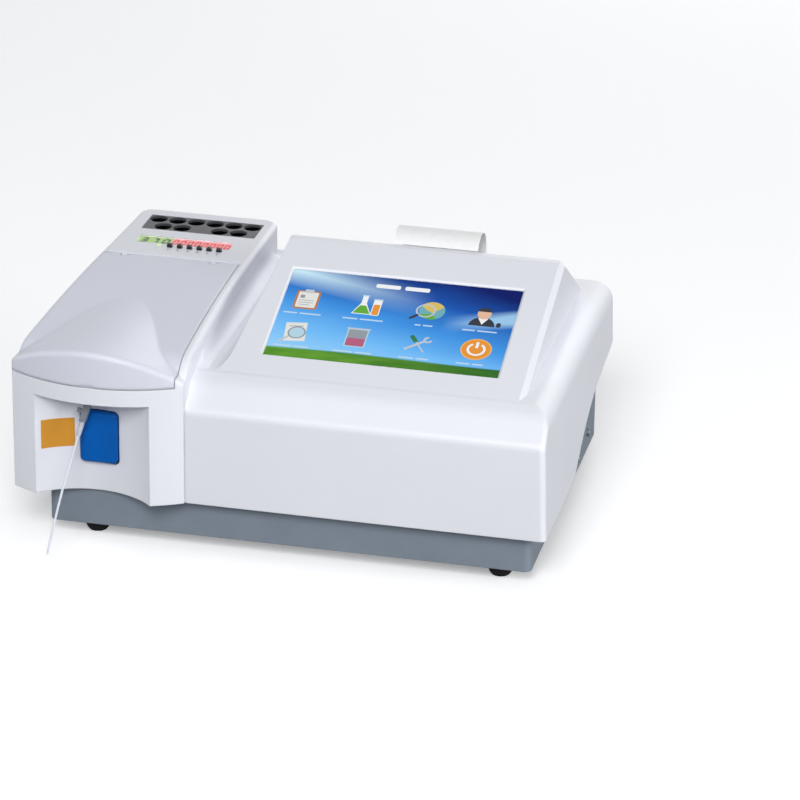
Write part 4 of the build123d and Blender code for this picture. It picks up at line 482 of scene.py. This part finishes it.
def icons():
    """Eight plain pictures in two rows; outlines are in millimetres from each icon's middle."""
    left, second, third, right = ICON_COLUMNS
    upper, lower = ICON_ROWS
    icon("icon_clipboard", (left, upper), [
        (box_part(-8, 8, -9.5, 8.5, 1.6), "wood"), (box_part(-6.6, 6.6, -8, 7.4, 0.6), "paper"),
        (box_part(-3, 3, 6.6, 10, 0.8), "steel"), (box_part(-5, -2, 1.2, 4.2), "grey"),
        (box_part(-5, 4.6, -1.2, -0.7), "grey"), (box_part(-5, 4.6, -3.4, -2.9), "grey"),
        (box_part(-5, 2.6, -5.6, -5.1), "grey")])
    icon("icon_flasks", (second, upper), [
        ([(-9, -9), (4, -9), (-0.8, 2), (-0.8, 9.4), (-4.4, 9.4), (-4.4, 2)], "white"),
        ([(-8.2, -8.3), (3.2, -8.3), (-0.6, -0.4), (-4.6, -0.4)], "green"),
        (box_part(3.6, 9.2, -9.4, 6.4, 1.2), "white"),
        (box_part(4.2, 8.6, -8.8, 1.6, 1.0), "orange"),
        (box_part(-5, -0.2, 8.8, 10, 0.5), "glass"), (box_part(3.2, 9.6, 5.8, 7, 0.5), "glass")])
    icon("icon_globe_lens", (third, upper), [
        (disc(8.6, (2.5, 1.0)), "sea"),
        (arc(8.6, 30, 150, (2.5, 1.0)) + [(-2, 2), (3, -1)], "globe"),
        (arc(8.6, 210, 300, (2.5, 1.0)) + [(2, -2)], "green"),
        (ring_part(6.6, 5.4, 0, 360, (-1.5, 0.5)), "steel"),
        (turned(box_part(-14.5, -7.4, -1.0, 1.0, 0.9), 42, (-1.5, 0.5)), "dark")])
    icon("icon_person", (right, upper), [
        (arc(8.6, 0, 180, (0, -9.0)), "dark"), ([(-3.4, -1.4), (3.4, -1.4), (0, -7.6)], "white"),
        (disc(4.6, (0, 3.2), squash=1.2), "skin"), (arc(5.0, 10, 170, (0, 4.2)), "dark"),
        (box_part(9.5, 12.5, -9, -4.5, 1.2), "dark")])
    icon("icon_page_lens", (left, lower), [
        (turned(box_part(-7, 7, -9, 9), 6), "paper"),
        (turned(box_part(-4.6, 4.6, 5.2, 5.9), 6), "grey"),
        (disc(5.2, (1.0, -0.6)), "glass"), (ring_part(6.0, 4.9, 0, 360, (1.0, -0.6)), "grey"),
        (turned(box_part(-13.5, -5.0, -0.9, 0.9, 0.8), 48, (1.0, -0.6)), "steel")])
    icon("icon_beaker", (second, lower), [
        (box_part(-7, 7, -9, 9, 1.4), "glass"), (box_part(-6.2, 6.2, -8.2, 7.8, 1.0), "grey"),
        (box_part(-6.0, 6.0, -8.0, -0.5, 1.0), "pink"), (box_part(-8, 8, 8.2, 9.4, 0.6), "steel")])
    icon("icon_tools", (third, lower), [
        (turned(box_part(-10, 5.5, -0.9, 0.9, 0.8), 38), "steel"),
        (turned(ring_part(3.0, 1.4, 45, 315, (7.6, 0)), 38), "steel"),
        (turned(box_part(-9, 2, -0.5, 0.5), 125), "steel"),
        (turned(box_part(2, 9.5, -1.5, 1.5, 1.2), 125), "leaf")])
    icon("icon_power", (right + 1.5, lower + 0.5), [
        (disc(10.2), "amber"), (disc(9.2), "orange"), (ring_part(6.2, 4.6, 122, 418), "white"),
        (box_part(-0.95, 0.95, 1.2, 7.2, 0.8), "white")])


# Seven-segment digits

SEGMENTS = {
    "0": "abcdef", "1": "bc", "2": "abged", "3": "abgcd", "4": "fgbc",
    "5": "afgcd", "6": "afgedc", "7": "abc", "8": "abcdefg", "9": "abcfgd",
}


def segment_outlines(width, height, stroke):
    """Outlines of the seven segments of a digit, by letter."""
    half_w, half_h, t = width / 2 - stroke / 2, height / 2 - stroke / 2, stroke / 2

    def bar(x0, y0, x1, y1):
        """A segment with pointed ends, upright or lying."""
        if x0 == x1:
            return [(x0 - t, y0 + t), (x0, y0), (x0 + t, y0 + t),
                    (x0 + t, y1 - t), (x0, y1), (x0 - t, y1 - t)]
        return [(x0, y0), (x0 + t, y0 - t), (x1 - t, y0 - t),
                (x1, y0), (x1 - t, y0 + t), (x0 + t, y0 + t)]

    return {
        "a": bar(-half_w, half_h, half_w, half_h), "g": bar(-half_w, 0, half_w, 0),
        "d": bar(-half_w, -half_h, half_w, -half_h),
        "f": bar(-half_w, 0, -half_w, half_h), "b": bar(half_w, 0, half_w, half_h),
        "e": bar(-half_w, -half_h, -half_w, 0), "c": bar(half_w, -half_h, half_w, 0),
    }


DIGIT_HEIGHT = 9.0
DIGIT_SLANT = 0.12
DIGIT_LIFT = 0.05


def digits(name, text, node, material, width, stroke):
    """Digits laid on the top of a display node, evenly spread along it."""
    low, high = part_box(node)
    outlines = segment_outlines(width, DIGIT_HEIGHT, stroke)
    pitch = (high[0] - low[0]) / len(text)
    middle_y, top = (low[1] + high[1]) / 2, high[2] + DIGIT_LIFT * MM
    vertices, faces = [], []
    for place, figure in enumerate(text):
        middle_x = low[0] + pitch * (place + 0.5)
        for letter in SEGMENTS[figure]:
            start = len(vertices)
            vertices += [(middle_x + (x + DIGIT_SLANT * y) * MM, middle_y + y * MM, top)
                         for x, y in outlines[letter]]
            faces.append(tuple(range(start, len(vertices))))
    return finish_piece(mesh_piece(name, vertices, faces, [material]), "housing")


BUTTON_COUNT = 6
NUMBER_SIZE, NUMBER_THICKNESS = 3.0, 0.01
NUMBER_DROP, NUMBER_LIFT = 3.6, 0.03


def button_numbers():
    """The numbers 1 to 6 in front of the buttons, printed flat on the cover."""
    ink = moulded("number_ink", srgb(70, 74, 84), 0.6, edge=0.0, spread=0.08)
    deck_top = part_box("display_window")[1][2]
    for number in range(1, BUTTON_COUNT + 1):
        low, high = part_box(f"timer_button_{number}")
        curve = bpy.data.curves.new(f"button_number_{number}", "FONT")
        curve.body = str(number)
        curve.size = NUMBER_SIZE * MM
        curve.extrude = NUMBER_THICKNESS * MM
        curve.align_x = "CENTER"
        curve.align_y = "CENTER"
        curve.materials.append(ink)
        text = bpy.data.objects.new(f"button_number_{number}", curve)
        text.location = ((low[0] + high[0]) / 2, low[1] - NUMBER_DROP * MM,
                         deck_top + NUMBER_LIFT * MM)
        finish_piece(text, "housing")


# The free sipper tube

SIPPER_ROUTE = ((-129.2, -121.5, 79.8), (-131.9, -127.5, 66.4), (-135.3, -138.0, 48.5),
                (-137.7, -150.5, 28.3), (-139.4, -160.0, 11.6))
TUBE_DIAMETER = 1.5


def sipper_tube():
    """The thin sample tube that hangs from the sleeve, one smooth open spline."""
    curve = bpy.data.curves.new("sample_tube", "CURVE")
    curve.dimensions = "3D"
    spline = curve.splines.new("NURBS")
    spline.points.add(len(SIPPER_ROUTE) - 1)
    for point, place in zip(spline.points, SIPPER_ROUTE):
        point.co = (*(Vector(place) * MM), 1.0)
    spline.order_u = 3
    spline.use_endpoint_u = True
    curve.resolution_u = 24
    curve.bevel_depth = TUBE_DIAMETER / 2 * MM
    curve.bevel_resolution = 6
    curve.use_fill_caps = True
    curve.materials.append(clear_plastic("sample_tube_plastic", srgb(232, 237, 246), 0.3, 0.25))
    tube = bpy.data.objects.new("sample_tube", curve)
    finish_piece(tube, "housing")
    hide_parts("sipper_tube")


# Small parts of the photometer that the solids leave out

FILTER_COUNT = 8
FILTER_RING_RADIUS, FILTER_RADIUS, FILTER_THICKNESS = 27.0, 4.1, 1.6
FILTER_DEPTH = 2.0
BULB_RADIUS, BULB_INSET, BULB_DROP = 2.6, 5.0, 11.0


def photometer_glass():
    """A coloured filter in each outer hole of the wheel, and the lamp in its house."""
    low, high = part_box("filter_wheel")
    middle = Vector(((low[0] + high[0]) / 2, (low[1] + high[1]) / 2, (low[2] + high[2]) / 2))
    plate_x = low[0] + FILTER_DEPTH * MM
    for number in range(FILTER_COUNT):
        turn = pi / 2 + 2 * pi * number / FILTER_COUNT
        shade = 40 + 22 * number
        tint = (srgb(shade, 60, 200 - shade / 2), srgb(60, shade, 120))[number % 2]
        bpy.ops.mesh.primitive_cylinder_add(
            vertices=40, radius=FILTER_RADIUS * MM, depth=FILTER_THICKNESS * MM,
            rotation=(0, pi / 2, 0),
            location=(plate_x, middle.y + FILTER_RING_RADIUS * MM * cos(turn),
                      middle.z + FILTER_RING_RADIUS * MM * sin(turn)))
        pane = bpy.context.object
        pane.name = f"filter_{number + 1}"
        pane.data.materials.append(clear_plastic(f"filter_glass_{number + 1}", tint, 0.05, 0.5))
        finish_piece(pane, "wheel")
    house_low, house_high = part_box("lamp_house")
    bpy.ops.mesh.primitive_uv_sphere_add(
        segments=32, ring_count=16, radius=BULB_RADIUS * MM,
        location=(house_high[0] - BULB_INSET * MM, (house_low[1] + house_high[1]) / 2,
                  house_high[2] - BULB_DROP * MM))
    bulb = bpy.context.object
    bulb.name = "lamp_bulb"
    bulb.data.materials.append(lit_picture("lamp_filament", srgb(255, 226, 170), 1.0))
    finish_piece(bulb, "housing", smooth=True)


# Materials of the solids

def dress():
    """Gives every solid its material."""
    cover = moulded("cover_plastic", COVER_WHITE)
    # The lid material carries the painted shade of its darker white.
    lid = moulded("lid_plastic_painted_shade", LID_WHITE_PAINTED_SHADE, edge=0.0035)
    black = moulded("black_plastic", srgb(26, 26, 29), 0.45, spread=0.15)
    cap = moulded("button_plastic", srgb(20, 20, 23), 0.3, spread=0.2, edge=0.0004)
    screws = metal("screw_steel", srgb(190, 192, 196), 0.24, size=0.0008)
    sheet = metal("zinc_sheet", srgb(168, 172, 176), 0.38, size=0.004)
    milled = metal("milled_aluminium", srgb(186, 189, 194), 0.3, (1, 14, 14), size=0.006)
    anodised = metal("black_anodised", srgb(38, 38, 42), 0.42)
    clear = clear_plastic("clear_tube", srgb(236, 240, 248), 0.12, 0.5)
    paper = paper_stock("thermal_paper")
    board = circuit_board("solder_mask")
    rubber_black = rubber("black_rubber")
    finishes = {
        cover: ("top_cover", "printer_door"),
        lid: ("flow_cell_lid",),
        powder_coat("chassis_paint", CHASSIS_GREY): ("chassis", "rear_panel"),
        rubber_black: ("feet", "platen_roller"),
        screws: ("cover_screws", "small_screws", "hinge_pins", "print_head", "pump_rotor"),
        black: ("fan_frame", "fan_rotor", "power_inlet", "power_switch", "switch_rocker",
                "sipper_collar", "detector", "lcd_module", "printer_frame"),
        cap: tuple(f"timer_button_{number}" for number in range(1, BUTTON_COUNT + 1)),
        moulded("plate_plastic", PLATE_GREY, 0.5, spread=0.08): ("incubator_panel",),
        sheet: ("fan_guard", "incubator_bracket", "screen_bracket", "paddle_bracket",
                "power_supply", "data_ports", "inner_tray"),
        anodised: ("filter_motor", "pump_motor"),
        # Near black with almost no specular: painted shade in the deep incubator wells.
        rubber("painted_well_shade", srgb(4, 4, 5), 0.04): ("incubator_block",),
        milled: ("lamp_house", "filter_wheel", "flow_cell_block"),
        moulded("pump_plastic", srgb(214, 216, 214), 0.5): ("pump_head", "waste_nozzle"),
        screen_picture("screen_picture"): ("touch_panel",),
        clear_plastic("display_window_plastic", srgb(252, 252, 252), 0.0, 1.0, 1.12):
            ("display_window",),
        lit_picture("temperature_backlight", srgb(160, 202, 104)): ("temp_display",),
        lit_picture("timer_backlight", srgb(255, 150, 152)): ("timer_display",),
        board: ("main_board", "display_board"),
        lit_picture("status_light", srgb(214, 246, 150), 1.0): ("status_led",),
        glossy_plastic("paddle_plastic", PADDLE_BLUE): ("start_paddle",),
        moulded("clamp_plastic", srgb(122, 126, 134), 0.3, edge=0.0004): ("sipper_clamp",),
        clear: ("sipper_sleeve", "sipper_tube", "sample_tubing", "pump_tubing"),
        moulded("amber_film", AMBER, 0.38, edge=0.0, spread=0.04): ("amber_label",),
        paper: ("paper_roll", "paper_web", "paper_curl"),
    }
    for material, names in finishes.items():
        for name in names:
            mesh = nodes[name].data
            mesh.materials.clear()
            mesh.materials.append(material)


# Studio

AMBIENT_LIGHT = 0.16
FLOOR_HALF = 6.0
FLOOR_LIFT = 0.32
AIM = (0, 0, 0.08)
# name, place, watts, size and colour
LAMPS = (
    ("key", (0.25, -2.25, 1.86), 53, 1.2, (1, 1, 1)),
    ("side", (2.4, -0.6, 0.68), 32, 1.4, (1, 1, 1)),
    ("fill", (-2.2, -0.3, 0.88), 10, 1.4, (0.95, 0.97, 1.0)),
    ("back", (0.25, 2.3, 0.7), 15, 1.4, (1, 1, 1)),
)


def studio():
    """White surroundings, a pale floor and four soft lamps."""
    scene = bpy.context.scene
    scene.view_settings.view_transform = "Standard"
    world = bpy.data.worlds.new("studio")
    scene.world = world
    world.use_nodes = True
    tree = world.node_tree
    ambient = tree.nodes["Background"]
    ambient.inputs["Color"].default_value = (0.93, 0.96, 1.0, 1.0)
    ambient.inputs["Strength"].default_value = AMBIENT_LIGHT
    white = tree.nodes.new("ShaderNodeBackground")
    white.inputs["Color"].default_value = (1.0, 1.0, 1.0, 1.0)
    white.inputs["Strength"].default_value = 1.0
    path = tree.nodes.new("ShaderNodeLightPath")
    seen = path.outputs["Is Camera Ray"]
    for kind in ("Is Glossy Ray", "Is Transmission Ray"):
        either = tree.nodes.new("ShaderNodeMath")
        either.operation = "MAXIMUM"
        tree.links.new(seen, either.inputs[0])
        tree.links.new(path.outputs[kind], either.inputs[1])
        seen = either.outputs[0]
    choose = tree.nodes.new("ShaderNodeMixShader")
    tree.links.new(seen, choose.inputs["Fac"])
    tree.links.new(ambient.outputs[0], choose.inputs[1])
    tree.links.new(white.outputs[0], choose.inputs[2])
    tree.links.new(choose.outputs[0], tree.nodes["World Output"].inputs["Surface"])

    corners = [(-FLOOR_HALF, -FLOOR_HALF, 0), (FLOOR_HALF, -FLOOR_HALF, 0),
               (FLOOR_HALF, FLOOR_HALF, 0), (-FLOOR_HALF, FLOOR_HALF, 0)]
    # pale for the camera, a mid grey for the light that it throws up on the object
    shader = Shader("floor_paint")
    shader.set(Roughness=0.9, Specular_IOR_Level=0.1, Emission_Color=(1, 1, 1, 1))
    camera_ray = shader.node("ShaderNodeLightPath").outputs["Is Camera Ray"]
    shade = shader.node("ShaderNodeMix", data_type="RGBA")
    shade.inputs["A"].default_value = srgb(178, 178, 180)
    shade.inputs["B"].default_value = srgb(244, 244, 245)
    shader.link(camera_ray, shade.inputs["Factor"])
    shader.link(shade.outputs["Result"], shader.principled.inputs["Base Color"])
    lift = shader.node("ShaderNodeMath", operation="MULTIPLY")
    lift.inputs[1].default_value = FLOOR_LIFT
    shader.link(camera_ray, lift.inputs[0])
    shader.link(lift.outputs[0], shader.principled.inputs["Emission Strength"])
    floor = mesh_piece("floor", corners, [(0, 1, 2, 3)], [shader.material])
    collection.objects.link(floor)

    for name, place, power, size, colour in LAMPS:
        lamp = bpy.data.lights.new(name, "AREA")
        lamp.energy = power
        lamp.size = size
        lamp.color = colour
        light = bpy.data.objects.new(name, lamp)
        light.location = place
        aim = Vector(AIM) - Vector(place)
        light.rotation_euler = aim.to_track_quat("-Z", "Y").to_euler()
        collection.objects.link(light)


PHOTO_PIXELS, FOCAL_PIXELS = 800, 3925.6


def camera():
    """The photograph's camera, solved from the object's straight edges."""
    back = Vector((0.19994, -0.89512, 0.39848))
    right = Vector((0.97449, 0.22397, 0.01418))
    up = Vector((-0.10195, 0.38547, 0.91707))
    place = Vector((572.9, -2320.2, 1106.6)) * MM
    lens = bpy.data.cameras.new("photo_camera")
    lens.sensor_width = 36.0
    lens.lens = FOCAL_PIXELS / PHOTO_PIXELS * lens.sensor_width
    lens.clip_start = 0.05
    lens.clip_end = 30.0
    shot = bpy.data.objects.new("photo_camera", lens)
    turn = Matrix((right, up, back)).transposed().to_4x4()
    shot.matrix_world = Matrix.Translation(place) @ turn
    collection.objects.link(shot)
    bpy.context.scene.camera = shot


camera()
sipper_tube()
dress()
captions()
icons()
dark_digits = lit_picture("dark_digits", srgb(26, 48, 30))
digits("temperature_digits", "370", "temp_display", dark_digits, 5.6, 2.1)
red_digits = lit_picture("red_digits", srgb(210, 4, 24))
digits("timer_digits", "00000000", "timer_display", red_digits, 4.4, 1.7)
button_numbers()
photometer_glass()
studio()
